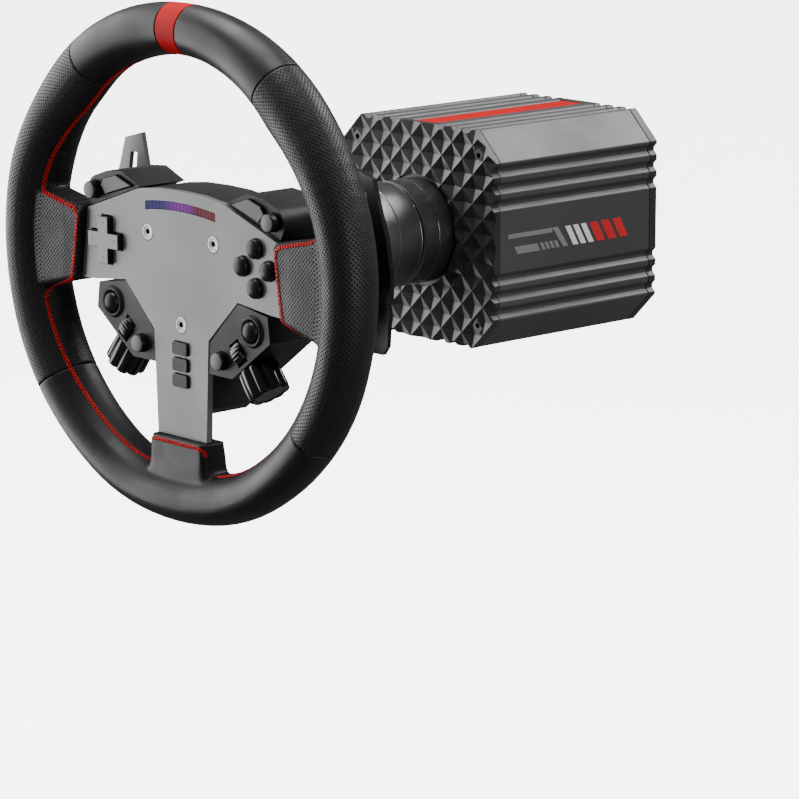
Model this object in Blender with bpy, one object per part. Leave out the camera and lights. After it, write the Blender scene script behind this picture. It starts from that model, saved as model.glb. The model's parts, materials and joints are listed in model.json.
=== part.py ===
"""Direct-drive racing wheel: a leather rim with a button plate, a quick release and a motor base.

Metres, +Z up.  The origin is the centre of the base's flat underside, +Y points away from the
driver and +X to the driver's right.  Everything on the wheel is modelled about the centre of the
rim, in a frame held by an empty on the shaft axis.  A moving piece has its origin on its joint.
"""

import math

import bmesh
import bpy

MM = 0.001
GAP = 0.3 * MM

# Motor base
BASE_HALF_WIDTH = 69.5 * MM
BASE_HEIGHT = 136.0 * MM
BASE_LENGTH = 144.4 * MM
BASE_CHAMFER = 18.7 * MM
COVER_THICKNESS = 6.0 * MM
BASE_CAVITY_HALF = 60.0 * MM
BASE_CAVITY_CHAMFER = 22.0 * MM
GROOVE_DEPTH = 2.5 * MM
SIDE_GROOVES = [5.2 * MM, 15.7 * MM, 26.2 * MM]
TOP_GROOVES = [6.0 * MM, 17.4 * MM, 28.8 * MM]
STRIPE_WIDTH = 22.8 * MM
STRIPE_RECESS = 2.0 * MM
PYRAMID_CELLS = 15
PYRAMID_DEPTH = 2.6 * MM
COVER_SCREW_AT = (55.0 * MM, 53.0 * MM)
COVER_SCREW_PAD = 4.6 * MM

# Shaft and motor
AXIS_HEIGHT = BASE_HEIGHT / 2
SHAFT_RADIUS = 15.0 * MM
COUPLING_RADIUS = 33.0 * MM
STATOR_RADIUS = 59.4 * MM
ROTOR_RADIUS = 45.0 * MM
ROTOR_WALL = 8.0 * MM
BEARING_RADIUS = 22.0 * MM

# Wheel: distance of the rim's middle plane in front of the base, and the flat parts' depths
RIM_TO_BASE = 185.8 * MM
RIM_Y = -BASE_LENGTH / 2 - RIM_TO_BASE
PLATE_FRONT = -4.6 * MM
PLATE_BACK = -0.6 * MM
CORE_FRONT = PLATE_BACK + GAP
CORE_BACK = 3.7 * MM
HOUSING_FRONT = PLATE_BACK + GAP
HOUSING_BACK = 34.0 * MM
WALL = 2.0 * MM
LEATHER = 1.2 * MM
RING_RADIUS = 142.0 * MM
RING_HALF = 4.0 * MM
RIM_STEP = 6.0
RIM_SIDES = 10
STRIPE_ANGLE = 3.6
UPPER_SEAM = 36.0
LOWER_SEAM = 126.0

# Rim section by angle from the top: half thickness across the rim and along the shaft,
# radius of the centre line, and the section's tilt towards the base in degrees
RIM_SECTIONS = [
    (0, 15.4 * MM, 15.0 * MM, 141.2 * MM, -12),
    (45, 17.6 * MM, 18.0 * MM, 142.6 * MM, 8),
    (75, 16.4 * MM, 19.4 * MM, 145.2 * MM, 30),
    (110, 15.8 * MM, 19.5 * MM, 144.0 * MM, 31),
    (150, 14.4 * MM, 19.4 * MM, 141.6 * MM, 20),
    (180, 15.0 * MM, 20.4 * MM, 140.0 * MM, 10),
]

# Half outline of the front plate, from the middle of its top edge to the middle of its bottom
PLATE_OUTLINE = [
    (0, 45.4 * MM), (20 * MM, 44.9 * MM), (39 * MM, 42.6 * MM), (87.6 * MM, 25.4 * MM),
    (93.9 * MM, -18.4 * MM), (80 * MM, -17.6 * MM), (52 * MM, -14.3 * MM),
    (25.2 * MM, -41.0 * MM), (22.6 * MM, -103.4 * MM), (0, -103.4 * MM),
]
CORE_OUTLINE = [
    (0, 29 * MM), (28 * MM, 29 * MM), (60 * MM, 20 * MM), (84 * MM, 13 * MM), (141 * MM, 13 * MM),
    (141 * MM, -12 * MM), (60 * MM, -12 * MM), (47 * MM, -12 * MM), (20 * MM, -38 * MM),
    (17 * MM, -140 * MM), (0, -140 * MM),
]
HOUSING_OUTLINE = [
    (0, 45.1 * MM), (20 * MM, 44.6 * MM), (38 * MM, 42.4 * MM), (86.6 * MM, 24.6 * MM),
    (88.4 * MM, -13.2 * MM), (51.4 * MM, -13.4 * MM), (24.2 * MM, -40.6 * MM),
    (23.2 * MM, -61 * MM), (20 * MM, -84 * MM), (14 * MM, -88.5 * MM), (0, -88.5 * MM),
]
UPPER_POD_OUTLINE = [
    (40.2 * MM, 43.2 * MM), (58 * MM, 50.5 * MM), (72 * MM, 49.2 * MM), (90 * MM, 43 * MM),
    (90.6 * MM, 33 * MM), (87.4 * MM, 26.6 * MM),
]
LOWER_POD_OUTLINE = [
    (51.8 * MM, -15.1 * MM), (78 * MM, -19.2 * MM), (80 * MM, -35 * MM), (65.5 * MM, -46 * MM),
    (46 * MM, -60.8 * MM), (25.0 * MM, -60.8 * MM), (25.8 * MM, -41.8 * MM),
]
PADDLE_OUTLINE = [
    (56 * MM, 9 * MM), (82 * MM, 16 * MM), (90 * MM, 36 * MM), (97 * MM, 65 * MM),
    (113.5 * MM, 60.5 * MM), (119 * MM, 43.5 * MM), (125 * MM, 27.5 * MM), (129 * MM, 5 * MM),
    (128.4 * MM, -9 * MM), (126.4 * MM, -12 * MM), (127.4 * MM, -15 * MM), (126 * MM, -36.5 * MM),
    (122 * MM, -42 * MM), (110 * MM, -42 * MM), (100 * MM, -30 * MM), (82 * MM, -16 * MM),
    (56 * MM, -9 * MM),
]
PADDLE_SLOT = [(104 * MM, 30 * MM), (112 * MM, 30 * MM), (108 * MM, 52 * MM), (102 * MM, 52 * MM)]
WEDGE_OUTLINE = [
    (46.4 * MM, 43.0 * MM), (61 * MM, 47.9 * MM), (72.4 * MM, 44.6 * MM),
    (75.4 * MM, 40.6 * MM), (70.8 * MM, 35.4 * MM),
]

# Controls: places are (x, z) on the plate, on the right-hand side where they are paired
PLATE_SCREW_CIRCLE = 35.0 * MM
PLATE_SCREW_HEAD = 5.2 * MM
PLATE_SCREW_SHANK = 2.0 * MM
BUTTON_CLUSTER = (69.0 * MM, 8.3 * MM)
BUTTON_SPACING = 11.7 * MM
BUTTON_RADIUS = 6.0 * MM
BUTTON_BACK = -1.7 * MM
DPAD_CENTRE = (-68.8 * MM, 7.8 * MM)
DPAD_REACH = 14.4 * MM
DPAD_FRONT = -8.4 * MM
DPAD_ARM = 4.7 * MM
DPAD_PIVOT_DEPTH = 2.4 * MM
KEY_HEIGHTS = [-49.2 * MM, -59.0 * MM, -68.8 * MM]
KEY_SIZE = (13.6 * MM, 7.8 * MM)
ROUND_BUTTON_AT = (82.2 * MM, 36.8 * MM)
DOME_AT = (64.4 * MM, -29.8 * MM)
SMALL_BUTTON_AT = (37.0 * MM, -51.2 * MM)
ROLLER_AT = (51.7 * MM, -44.5 * MM)
ROLLER_DEPTH = -0.6 * MM
ROLLER_RADIUS = 7.2 * MM
ROLLER_HALF_WIDTH = 4.4 * MM
KNOB_RADIUS = 13.0 * MM
KNOB_LENGTH = 19.0 * MM
KNOB_DEPTH = 7.0 * MM
KNOB_FLUTES = 9
LOWER_POD_FRONT = -4.2 * MM
UPPER_POD_FRONT = -2.0 * MM
POD_BACK = 33.0 * MM
CONTROL_DEPTH = 8.0 * MM
PADDLE_FRONT = 46.0 * MM
PADDLE_THICKNESS = 3.0 * MM
PADDLE_PIVOT = (50.0 * MM, 43.0 * MM)
HINGE_PIN_RADIUS = 1.6 * MM
HINGE_BARREL_RADIUS = 4.0 * MM
HINGE_EARS = (-16.6 * MM, 12.6 * MM)
HINGE_EAR_HEIGHT = 4.0 * MM
LED_HALF_WIDTH = 32.0 * MM
LED_RADIUS = 222.0 * MM
LED_TOP = 38.1 * MM
LED_HEIGHT = 4.6 * MM

FINISHES = {
    "black_leather": ((0.018, 0.018, 0.02), 0.55, 0.0),
    "red_leather": ((0.70, 0.02, 0.03), 0.5, 0.0),
    "foam": ((0.05, 0.05, 0.05), 0.9, 0.0),
    "dark_anodised": ((0.09, 0.09, 0.095), 0.45, 0.7),
    "grey_plate": ((0.33, 0.33, 0.34), 0.45, 0.3),
    "black_plastic": ((0.03, 0.03, 0.033), 0.5, 0.0),
    "gloss_black": ((0.01, 0.01, 0.01), 0.12, 0.0),
    "grey_plastic": ((0.35, 0.35, 0.36), 0.5, 0.0),
    "steel": ((0.6, 0.6, 0.62), 0.3, 1.0),
    "red_paint": ((0.75, 0.01, 0.02), 0.4, 0.0),
    "circuit_board": ((0.01, 0.08, 0.03), 0.6, 0.0),
    "copper_winding": ((0.55, 0.22, 0.08), 0.4, 0.8),
    "clear_lens": ((0.25, 0.1, 0.6), 0.2, 0.0),
}


def clear_scene():
    for obj in list(bpy.data.objects):
        bpy.data.objects.remove(obj, do_unlink=True)


def give_finish(obj, finish):
    """Each piece gets its own Principled material, named after it."""
    colour, roughness, metallic = FINISHES[finish]
    mat = bpy.data.materials.new(obj.name)
    mat.use_nodes = True
    shader = mat.node_tree.nodes["Principled BSDF"]
    shader.inputs["Base Color"].default_value = (*colour, 1.0)
    shader.inputs["Roughness"].default_value = roughness
    shader.inputs["Metallic"].default_value = metallic
    obj.data.materials.clear()
    obj.data.materials.append(mat)


def add_object(name, bm):
    bmesh.ops.recalc_face_normals(bm, faces=bm.faces)
    mesh = bpy.data.meshes.new(name)
    bm.to_mesh(mesh)
    bm.free()
    obj = bpy.data.objects.new(name, mesh)
    bpy.context.scene.collection.objects.link(obj)
    return obj


def boolean(obj, cutter, operation="DIFFERENCE"):
    """Cut, join or intersect with another object, which is used up."""
    modifier = obj.modifiers.new("cut", "BOOLEAN")
    modifier.operation = operation
    modifier.solver = "EXACT"
    modifier.object = cutter
    depsgraph = bpy.context.evaluated_depsgraph_get()
    mesh = bpy.data.meshes.new_from_object(obj.evaluated_get(depsgraph))
    obj.modifiers.clear()
    obj.data = mesh
    bpy.data.objects.remove(cutter, do_unlink=True)


def finish_piece(obj, finish, parent=None, origin=(0, 0, 0), sharp=35):
    """Move the origin onto the joint, hang the piece in its frame and give it its finish."""
    for vertex in obj.data.vertices:
        vertex.co.x -= origin[0]
        vertex.co.y -= origin[1]
        vertex.co.z -= origin[2]
    obj.location = origin
    obj.parent = parent
    obj.data.shade_smooth()
    obj.data.set_sharp_from_angle(angle=math.radians(sharp))
    give_finish(obj, finish)
    return obj


def whole_outline(half):
    """Mirror a right-hand half outline whose first and last points lie on the middle line."""
    return half + [(-x, z) for x, z in reversed(half[1:-1])]


def mirrored(outline, side):
    return [(side * x, z) for x, z in outline]


def inset_outline(outline, distance):
    """Move every edge of an outline inwards by the same distance."""
    count = len(outline)
    area = sum(
        outline[i][0] * outline[(i + 1) % count][1] - outline[(i + 1) % count][0] * outline[i][1]
        for i in range(count)
    )
    turn = 1 if area > 0 else -1
    points = []
    for i, (x, z) in enumerate(outline):
        before = outline[i - 1]
        after = outline[(i + 1) % count]
        length_in = math.hypot(x - before[0], z - before[1])
        length_out = math.hypot(after[0] - x, after[1] - z)
        n_in = (-(z - before[1]) / length_in * turn, (x - before[0]) / length_in * turn)
        n_out = (-(after[1] - z) / length_out * turn, (after[0] - x) / length_out * turn)
        scale = distance / (1 + n_in[0] * n_out[0] + n_in[1] * n_out[1])
        points.append((x + (n_in[0] + n_out[0]) * scale, z + (n_in[1] + n_out[1]) * scale))
    return points


def prism(name, outline, front, back):
    """A solid with a flat outline of (x, z) points, between two depths along Y."""
    bm = bmesh.new()
    face = bm.faces.new([bm.verts.new((x, front, z)) for x, z in outline])
    grown = bmesh.ops.extrude_face_region(bm, geom=[face])["geom"]
    moved = [g for g in grown if isinstance(g, bmesh.types.BMVert)]
    bmesh.ops.translate(bm, verts=moved, vec=(0, back - front, 0))
    return add_object(name, bm)


def box(name, low, high):
    outline = [(low[0], low[2]), (high[0], low[2]), (high[0], high[2]), (low[0], high[2])]
    return prism(name, outline, low[1], high[1])


def turned(name, profile, at=(0, 0), segments=16, ring=False):
    """A solid turned about a line along Y; profile points are (radius, y)."""
    bm = bmesh.new()
    verts = [bm.verts.new((radius, y, 0)) for radius, y in profile]
    edges = [bm.edges.new(pair) for pair in zip(verts, verts[1:])]
    if ring:
        edges.append(bm.edges.new((verts[-1], verts[0])))
    bmesh.ops.spin(
        bm, geom=verts + edges, cent=(0, 0, 0), axis=(0, 1, 0),
        angle=math.tau, steps=segments, use_merge=True,
    )
    bmesh.ops.remove_doubles(bm, verts=bm.verts, dist=0.001 * MM)
    bmesh.ops.translate(bm, verts=bm.verts, vec=(at[0], 0, at[1]))
    return add_object(name, bm)


def circle_outline(centre, radius, segments=20):
    steps = [math.tau * i / segments for i in range(segments)]
    return [(centre[0] + radius * math.cos(a), centre[1] + radius * math.sin(a)) for a in steps]


def rounded_rectangle(centre, width, height, corner, steps=3):
    points = []
    for quarter, (sx, sz) in enumerate([(1, 1), (-1, 1), (-1, -1), (1, -1)]):
        cx = centre[0] + sx * (width / 2 - corner)
        cz = centre[1] + sz * (height / 2 - corner)
        for i in range(steps + 1):
            angle = math.radians(90 * (quarter + i / steps))
            points.append((cx + corner * math.cos(angle), cz + corner * math.sin(angle)))
    return points


def cross_outline(centre, reach, arm):
    corners = [(reach, arm), (arm, arm), (arm, reach)]
    points = []
    for quarter in range(4):
        c, s = [(1, 0), (0, 1), (-1, 0), (0, -1)][quarter]
        points += [(centre[0] + c * x - s * z, centre[1] + s * x + c * z) for x, z in corners]
    return points


# ---------------------------------------------------------------- motor base


def face_points(start, end, grooves):
    """One straight face of the extrusion: (distance, half width, depth) for each groove."""
    length = math.hypot(end[0] - start[0], end[1] - start[1])
    along = ((end[0] - start[0]) / length, (end[1] - start[1]) / length)
    inward = (-along[1], along[0])
    points = [start]
    for distance, half, depth in sorted(grooves):
        bottom = half - depth
        for offset, drop in ((-half, 0), (-bottom, depth), (bottom, depth), (half, 0)):
            reach = distance + offset
            points.append((
                start[0] + along[0] * reach + inward[0] * drop,
                start[1] + along[1] * reach + inward[1] * drop,
            ))
    return points


def base_outline(stripe=True):
    """The grooved octagon of the base, anticlockwise from the bottom left."""
    w, h, c = BASE_HALF_WIDTH, BASE_HEIGHT, BASE_CHAMFER
    flat = 2 * (w - c)
    side = h - 2 * c
    groove_half = 3.6 * MM
    ribs = [(d, groove_half, GROOVE_DEPTH) for d in TOP_GROOVES]
    bottom = ribs + [(flat - d, half, depth) for d, half, depth in ribs]
    top = bottom + ([(flat / 2, STRIPE_WIDTH / 2, STRIPE_RECESS)] if stripe else [])
    ribs = [(d, groove_half, GROOVE_DEPTH) for d in SIDE_GROOVES]
    sides = ribs + [(side - d, half, depth) for d, half, depth in ribs]
    points = face_points((c - w, 0), (w - c, 0), bottom)
    points += [(w - c, 0)]
    points += face_points((w, c), (w, h - c), sides)
    points += [(w, h - c)]
    points += face_points((w - c, h), (c - w, h), top)
    points += [(c - w, h)]
    points += face_points((-w, h - c), (-w, c), sides)
    points += [(-w, c)]
    return points


def octagon(half, chamfer):
    middle = AXIS_HEIGHT
    right = [(half - chamfer, -half), (half, chamfer - half), (half, half - chamfer), (half - chamfer, half)]
    left = [(-x, z) for x, z in reversed(right)]
    return [(x, z + middle) for x, z in right + left]


def base_housing():
    front = -BASE_LENGTH / 2 + COVER_THICKNESS + GAP
    back = BASE_LENGTH / 2 - COVER_THICKNESS - GAP
    housing = prism("base_housing", base_outline(), front, back)
    cavity = octagon(BASE_CAVITY_HALF, BASE_CAVITY_CHAMFER)
    boolean(housing, prism("cut", cavity, front - MM, back + MM))
    finish_piece(housing, "dark_anodised")


def pyramid_block(front, back):
    """A block whose front is a lattice of square pits, turned an eighth, with level ridges."""
    cells = PYRAMID_CELLS
    pitch_x = 2 * BASE_HALF_WIDTH / cells
    pitch_z = BASE_HEIGHT / cells
    bm = bmesh.new()
    grid = []
    for row in range(-1, cells + 2):
        line = []
        for column in range(-1, cells + 2):
            drop = PYRAMID_DEPTH if (row + column) % 2 == 0 else 0
            x = column * pitch_x - BASE_HALF_WIDTH
            line.append(bm.verts.new((x, front + drop, row * pitch_z)))
        grid.append(line)
    for row in range(cells + 2):
        for column in range(cells + 2):
            a, b = grid[row][column], grid[row][column + 1]
            d, c = grid[row + 1][column], grid[row + 1][column + 1]
            if (row + column) % 2 == 0:
                triangles = ((a, b, d), (b, c, d))
            else:
                triangles = ((a, b, c), (a, c, d))
            for triangle in triangles:
                bm.faces.new(triangle)
    rim = [edge for edge in bm.edges if edge.is_boundary]
    skirt = bmesh.ops.extrude_edge_only(bm, edges=rim)["geom"]
    for vert in [g for g in skirt if isinstance(g, bmesh.types.BMVert)]:
        vert.co.y = back
    bmesh.ops.holes_fill(bm, edges=[edge for edge in bm.edges if edge.is_boundary])
    return add_object("front_cover", bm)


def front_cover():
    front = -BASE_LENGTH / 2
    back = front + COVER_THICKNESS
    cover = pyramid_block(front, back)
    boolean(cover, prism("cut", base_outline(stripe=False), front - MM, back + MM), "INTERSECT")
    for side in (-1, 1):
        for up in (-1, 1):
            at = (side * COVER_SCREW_AT[0], AXIS_HEIGHT + up * COVER_SCREW_AT[1])
            pad = circle_outline(at, COVER_SCREW_PAD, 12)
            boolean(cover, prism("cut", pad, front - MM, front + PYRAMID_DEPTH * 0.4))
            boolean(cover, prism("cut", circle_outline(at, 1.8 * MM, 8), front - MM, back + MM))
    hub = (0, AXIS_HEIGHT)
    boolean(cover, prism("cut", circle_outline(hub, 35.5 * MM, 32), front - MM, front + 3 * MM))
    seat = turned("cut", [
        (BEARING_RADIUS + GAP, back - 0.5 * MM), (BEARING_RADIUS + 5 * MM, back - 0.5 * MM),
        (BEARING_RADIUS + 5 * MM, back + 13 * MM), (BEARING_RADIUS + GAP, back + 13 * MM),
    ], hub, 32, ring=True)
    boolean(cover, seat, "UNION")
    boolean(cover, prism("cut", circle_outline(hub, 17 * MM, 32), front - MM, back + MM))
    finish_piece(cover, "dark_anodised", sharp=12)


def rear_cover():
    front = BASE_LENGTH / 2 - COVER_THICKNESS
    back = BASE_LENGTH / 2
    cover = prism("rear_cover", base_outline(stripe=False), front, back)
    boolean(cover, box("cut", (-36 * MM, front - MM, 24 * MM), (-14 * MM, back + MM, 38 * MM)))
    boolean(cover, box("cut", (-6 * MM, front - MM, 25 * MM), (6 * MM, back + MM, 37 * MM)))
    button = circle_outline((26 * MM, 31 * MM), 7.6 * MM, 20)
    boolean(cover, prism("cut", button, front - MM, back + MM))
    boolean(cover, prism("cut", octagon(44 * MM, 14 * MM)[2:6] + [
        (-44 * MM, 60 * MM), (44 * MM, 60 * MM)], back - 1.2 * MM, back + MM))
    finish_piece(cover, "dark_anodised")


def top_stripe():
    half = STRIPE_WIDTH / 2 - STRIPE_RECESS - GAP
    low = BASE_HEIGHT - STRIPE_RECESS + GAP
    stripe = box("top_stripe", (-half, -BASE_LENGTH / 2 + COVER_THICKNESS + 2 * GAP, low),
                 (half, BASE_LENGTH / 2 - COVER_THICKNESS - 2 * GAP, BASE_HEIGHT - 0.6 * MM))
    finish_piece(stripe, "red_paint")


def motor():
    hub = (0, AXIS_HEIGHT)
    front = -20 * MM
    back = 34 * MM
    stator = turned("motor_stator", [
        (ROTOR_RADIUS + 0.6 * MM, front), (STATOR_RADIUS, front), (STATOR_RADIUS, back + 4 * MM),
        (BEARING_RADIUS + 5 * MM, back + 4 * MM), (BEARING_RADIUS + 5 * MM, back + 14 * MM),
        (BEARING_RADIUS + GAP, back + 14 * MM), (BEARING_RADIUS + GAP, back + MM),
        (ROTOR_RADIUS + 0.6 * MM, back + MM),
    ], hub, 32, ring=True)
    finish_piece(stator, "copper_winding")
    rotor = turned("motor_rotor", [
        (SHAFT_RADIUS + GAP, back - MM), (ROTOR_RADIUS, back - MM), (ROTOR_RADIUS, front + MM),
        (ROTOR_RADIUS - ROTOR_WALL, front + MM), (ROTOR_RADIUS - ROTOR_WALL, back - 11 * MM),
        (SHAFT_RADIUS + GAP, back - 11 * MM),
    ], hub, 32, ring=True)
    finish_piece(rotor, "steel")
    places = {"front_bearing": -BASE_LENGTH / 2 + COVER_THICKNESS + MM, "rear_bearing": back + 2 * MM}
    for name, start in places.items():
        bearing = turned(name, [
            (SHAFT_RADIUS + GAP, start), (BEARING_RADIUS, start),
            (BEARING_RADIUS, start + 11 * MM), (SHAFT_RADIUS + GAP, start + 11 * MM),
        ], hub, 24, ring=True)
        finish_piece(bearing, "steel")


def electronics():
    board = box("controller_board", (-46 * MM, 52 * MM, 20 * MM), (46 * MM, 53.6 * MM, 112 * MM))
    finish_piece(board, "circuit_board")
    power = box("power_socket", (-35.6 * MM, 54 * MM, 24.4 * MM), (-14.4 * MM, 71.4 * MM, 37.6 * MM))
    boolean(power, box("cut", (-33.6 * MM, 60 * MM, 26.4 * MM), (-16.4 * MM, 73 * MM, 35.6 * MM)))
    finish_piece(power, "black_plastic")
    data = box("usb_socket", (-5.6 * MM, 54 * MM, 25.4 * MM), (5.6 * MM, 71.4 * MM, 36.6 * MM))
    boolean(data, box("cut", (-4.2 * MM, 60 * MM, 27 * MM), (4.2 * MM, 73 * MM, 35 * MM)))
    finish_piece(data, "steel")
    at = (26 * MM, 31 * MM)
    button = turned("power_button", [
        (0, 58 * MM), (3 * MM, 58 * MM), (3 * MM, 66 * MM), (7 * MM, 66 * MM), (7 * MM, 72.4 * MM),
        (6.2 * MM, 73.2 * MM), (0, 73.2 * MM),
    ], at)
    finish_piece(button, "black_plastic", origin=(at[0], 66 * MM, at[1]))


# ---------------------------------------------------------------- shaft and quick release


def drive_shaft(frame):
    """The motor shaft with the round coupling that the wheel locks onto."""
    start = RIM_TO_BASE
    profile = [
        (0, 122 * MM), (14 * MM, 122 * MM), (14 * MM, 163.4 * MM),
        (COUPLING_RADIUS, 163.4 * MM), (COUPLING_RADIUS, start + 2.4 * MM),
        (SHAFT_RADIUS, start + 2.4 * MM), (SHAFT_RADIUS, start + 122 * MM), (0, start + 122 * MM),
    ]
    finish_piece(turned("drive_shaft", profile, segments=32), "dark_anodised", frame)


def quick_release(frame):
    """The wheel's half of the coupling, and the collar that is pulled to unlock it."""
    hub = turned("quick_release_hub", [
        (0, 118 * MM), (14.3 * MM, 118 * MM), (14.3 * MM, 161 * MM), (24 * MM, 161 * MM),
        (24 * MM, 100 * MM), (28 * MM, 98 * MM), (28 * MM, 40 * MM), (30 * MM, 38 * MM),
        (30 * MM, HOUSING_BACK + GAP), (0, HOUSING_BACK + GAP),
    ], segments=32)
    finish_piece(hub, "dark_anodised", frame)
    profile = [
        (24.3 * MM, 113 * MM), (31 * MM, 113 * MM), (COUPLING_RADIUS, 115 * MM),
        (COUPLING_RADIUS, 161.6 * MM), (24.3 * MM, 161.6 * MM),
    ]
    collar = turned("release_collar", profile, segments=32, ring=True)
    finish_piece(collar, "dark_anodised", frame, (0, 113 * MM, 0))


# ---------------------------------------------------------------- rim


def rim_section(angle):
    """Smooth blend between the two nearest rim sections; the rim is the same left and right."""
    angle = abs((angle + 180) % 360 - 180)
    for low, high in zip(RIM_SECTIONS, RIM_SECTIONS[1:]):
        if angle <= high[0]:
            part = (angle - low[0]) / (high[0] - low[0])
            part = part * part * (3 - 2 * part)
            return [a + (b - a) * part for a, b in zip(low[1:], high[1:])]
    return RIM_SECTIONS[-1][1:]


def rim_loop(bm, angle, inset):
    """One ring of vertices round the rim's section, the given distance under its surface."""
    across, along, radius, tilt = rim_section(angle)
    turn = math.radians(angle)
    lean = math.radians(tilt)
    loop = []
    for i in range(RIM_SIDES):
        phi = math.tau * i / RIM_SIDES
        u = (across - inset) * math.cos(phi)
        v = (along - inset) * math.sin(phi)
        reach = radius + u * math.cos(lean) - v * math.sin(lean)
        depth = u * math.sin(lean) + v * math.cos(lean)
        loop.append(bm.verts.new((reach * math.sin(turn), depth, reach * math.cos(turn))))
    return loop


def join_loops(bm, first, second):
    count = len(first)
    for i in range(count):
        after = (i + 1) % count
        bm.faces.new((first[i], first[after], second[after], second[i]))


def rim_angles(start, stop):
    inner = [i * RIM_STEP for i in range(-60, 61) if start < i * RIM_STEP < stop]
    return [start] + inner + [stop]


def rim_tube(name, start, stop, inset):
    """A solid length of rim with flat ends, or the whole ring for a full turn."""
    bm = bmesh.new()
    angles = rim_angles(start, stop)
    closed = stop - start >= 360
    loops = [rim_loop(bm, angle, inset) for angle in (angles[:-1] if closed else angles)]
    for first, second in zip(loops, loops[1:]):
        join_loops(bm, first, second)
    if closed:
        join_loops(bm, loops[-1], loops[0])
    else:
        bm.faces.new(loops[0])
        bm.faces.new(loops[-1])
    return add_object(name, bm)


def rim_skin(name, start, stop):
    """An open-ended sleeve of leather over the foam."""
    bm = bmesh.new()
    outer = [rim_loop(bm, angle, 0) for angle in rim_angles(start, stop)]
    inner = [rim_loop(bm, angle, LEATHER) for angle in rim_angles(start, stop)]
    for loops in (outer, inner):
        for first, second in zip(loops, loops[1:]):
            join_loops(bm, first, second)
    join_loops(bm, outer[0], inner[0])
    join_loops(bm, outer[-1], inner[-1])
    return add_object(name, bm)


def core_ring(name, extra):
    """The square-section ring inside the foam, grown by a clearance."""
    half = RING_HALF + extra
    middle = (CORE_FRONT + CORE_BACK) / 2
    profile = [
        (RING_RADIUS - half, middle - half), (RING_RADIUS + half, middle - half),
        (RING_RADIUS + half, middle + half), (RING_RADIUS - half, middle + half),
    ]
    return turned(name, profile, segments=48, ring=True)


def arm_slot(place):
    """The space that one spoke arm of the core takes, with clearance."""
    front = CORE_FRONT - GAP
    back = CORE_BACK + GAP
    near = 70 * MM
    far = 142 * MM
    if place == "bottom":
        return box("cut", (-20.3 * MM, front, -far), (20.3 * MM, back, -near))
    side = 1 if place == "right" else -1
    low = (min(side * near, side * far), front, -12.3 * MM)
    high = (max(side * near, side * far), back, 13.3 * MM)
    return box("cut", low, high)


def rim(frame):
    foam = rim_tube("rim_foam", -180, 180, LEATHER + GAP)
    boolean(foam, core_ring("cut", GAP))
    for place in ("left", "right", "bottom"):
        boolean(foam, arm_slot(place))
    finish_piece(foam, "foam", frame)
    spans = {
        "leather_top_left": (-UPPER_SEAM, -STRIPE_ANGLE),
        "centre_stripe": (-STRIPE_ANGLE, STRIPE_ANGLE),
        "leather_top_right": (STRIPE_ANGLE, UPPER_SEAM),
        "grip_right": (UPPER_SEAM, LOWER_SEAM),
        "leather_bottom": (LOWER_SEAM, 360 - LOWER_SEAM),
        "grip_left": (-LOWER_SEAM, -UPPER_SEAM),
    }
    seam = 0.1
    slots = {"grip_right": "right", "grip_left": "left", "leather_bottom": "bottom"}
    for name, (start, stop) in spans.items():
        skin = rim_skin(name, start + seam, stop - seam)
        if name in slots:
            boolean(skin, arm_slot(slots[name]))
        leather = "red_leather" if name == "centre_stripe" else "black_leather"
        finish_piece(skin, leather, frame, sharp=50)


def spoke_cover(name, place, frame):
    """The padded leather cuff between the plate and the rim, with a slot for the core's arm."""
    side = -1 if place == "left" else 1
    if place == "bottom":
        stations = [(-104.0, -104.0, -25.0, 25.0, -9.5, 9.0), (-116, -116, -27, 27, -10.5, 10.5),
                    (-142, -142, -35, 35, -12, 14)]
        ends = [180 - 24, 180 + 24]
    else:
        stations = [(94.9, 88.7, -20.6, 26.2, -9.5, 9.0), (106, 104, -23, 29, -10.5, 10.5),
                    (142, 142, -36, 39, -12, 14)]
        ends = [90 - 30, 90 + 30] if side > 0 else [-90 - 30, -90 + 30]
    bevel = 3.0
    bm = bmesh.new()
    loops = []
    for near_low, near_high, low, high, front, back in stations:
        corners = [(low, front + bevel), (low + bevel, front), (high - bevel, front),
                   (high, front + bevel), (high, back - bevel), (high - bevel, back),
                   (low + bevel, back), (low, back - bevel)]
        loop = []
        for across, depth in corners:
            part = (across - low) / (high - low)
            reach = near_low + (near_high - near_low) * part
            if place == "bottom":
                point = (across * MM, depth * MM, reach * MM)
            else:
                point = (side * reach * MM, depth * MM, across * MM)
            loop.append(bm.verts.new(point))
        loops.append(loop)
    for first, second in zip(loops, loops[1:]):
        join_loops(bm, first, second)
    bm.faces.new(loops[0])
    bm.faces.new(loops[-1])
    cover = add_object(name, bm)
    boolean(cover, rim_tube("cut", ends[0], ends[1], -GAP))
    boolean(cover, arm_slot(place))
    keep_nearest_piece(cover)
    finish_piece(cover, "black_leather", frame)


def keep_nearest_piece(obj):
    """Drop the loose off-cuts that a cut leaves on the far side of the rim."""
    bm = bmesh.new()
    bm.from_mesh(obj.data)
    left = set(bm.verts)
    pieces = []
    while left:
        stack = [left.pop()]
        piece = set(stack)
        while stack:
            vert = stack.pop()
            for edge in vert.link_edges:
                other = edge.other_vert(vert)
                if other in left:
                    left.discard(other)
                    piece.add(other)
                    stack.append(other)
        pieces.append(piece)
    nearest = min(pieces, key=lambda piece: min(v.co.length for v in piece))
    bmesh.ops.delete(bm, geom=[v for v in bm.verts if v not in nearest], context="VERTS")
    bm.to_mesh(obj.data)
    bm.free()


# ---------------------------------------------------------------- plate, core and casings


def screw_places():
    angles = [math.radians(a) for a in (30, 150, 270)]
    return [(PLATE_SCREW_CIRCLE * math.cos(a), PLATE_SCREW_CIRCLE * math.sin(a)) for a in angles]


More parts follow.
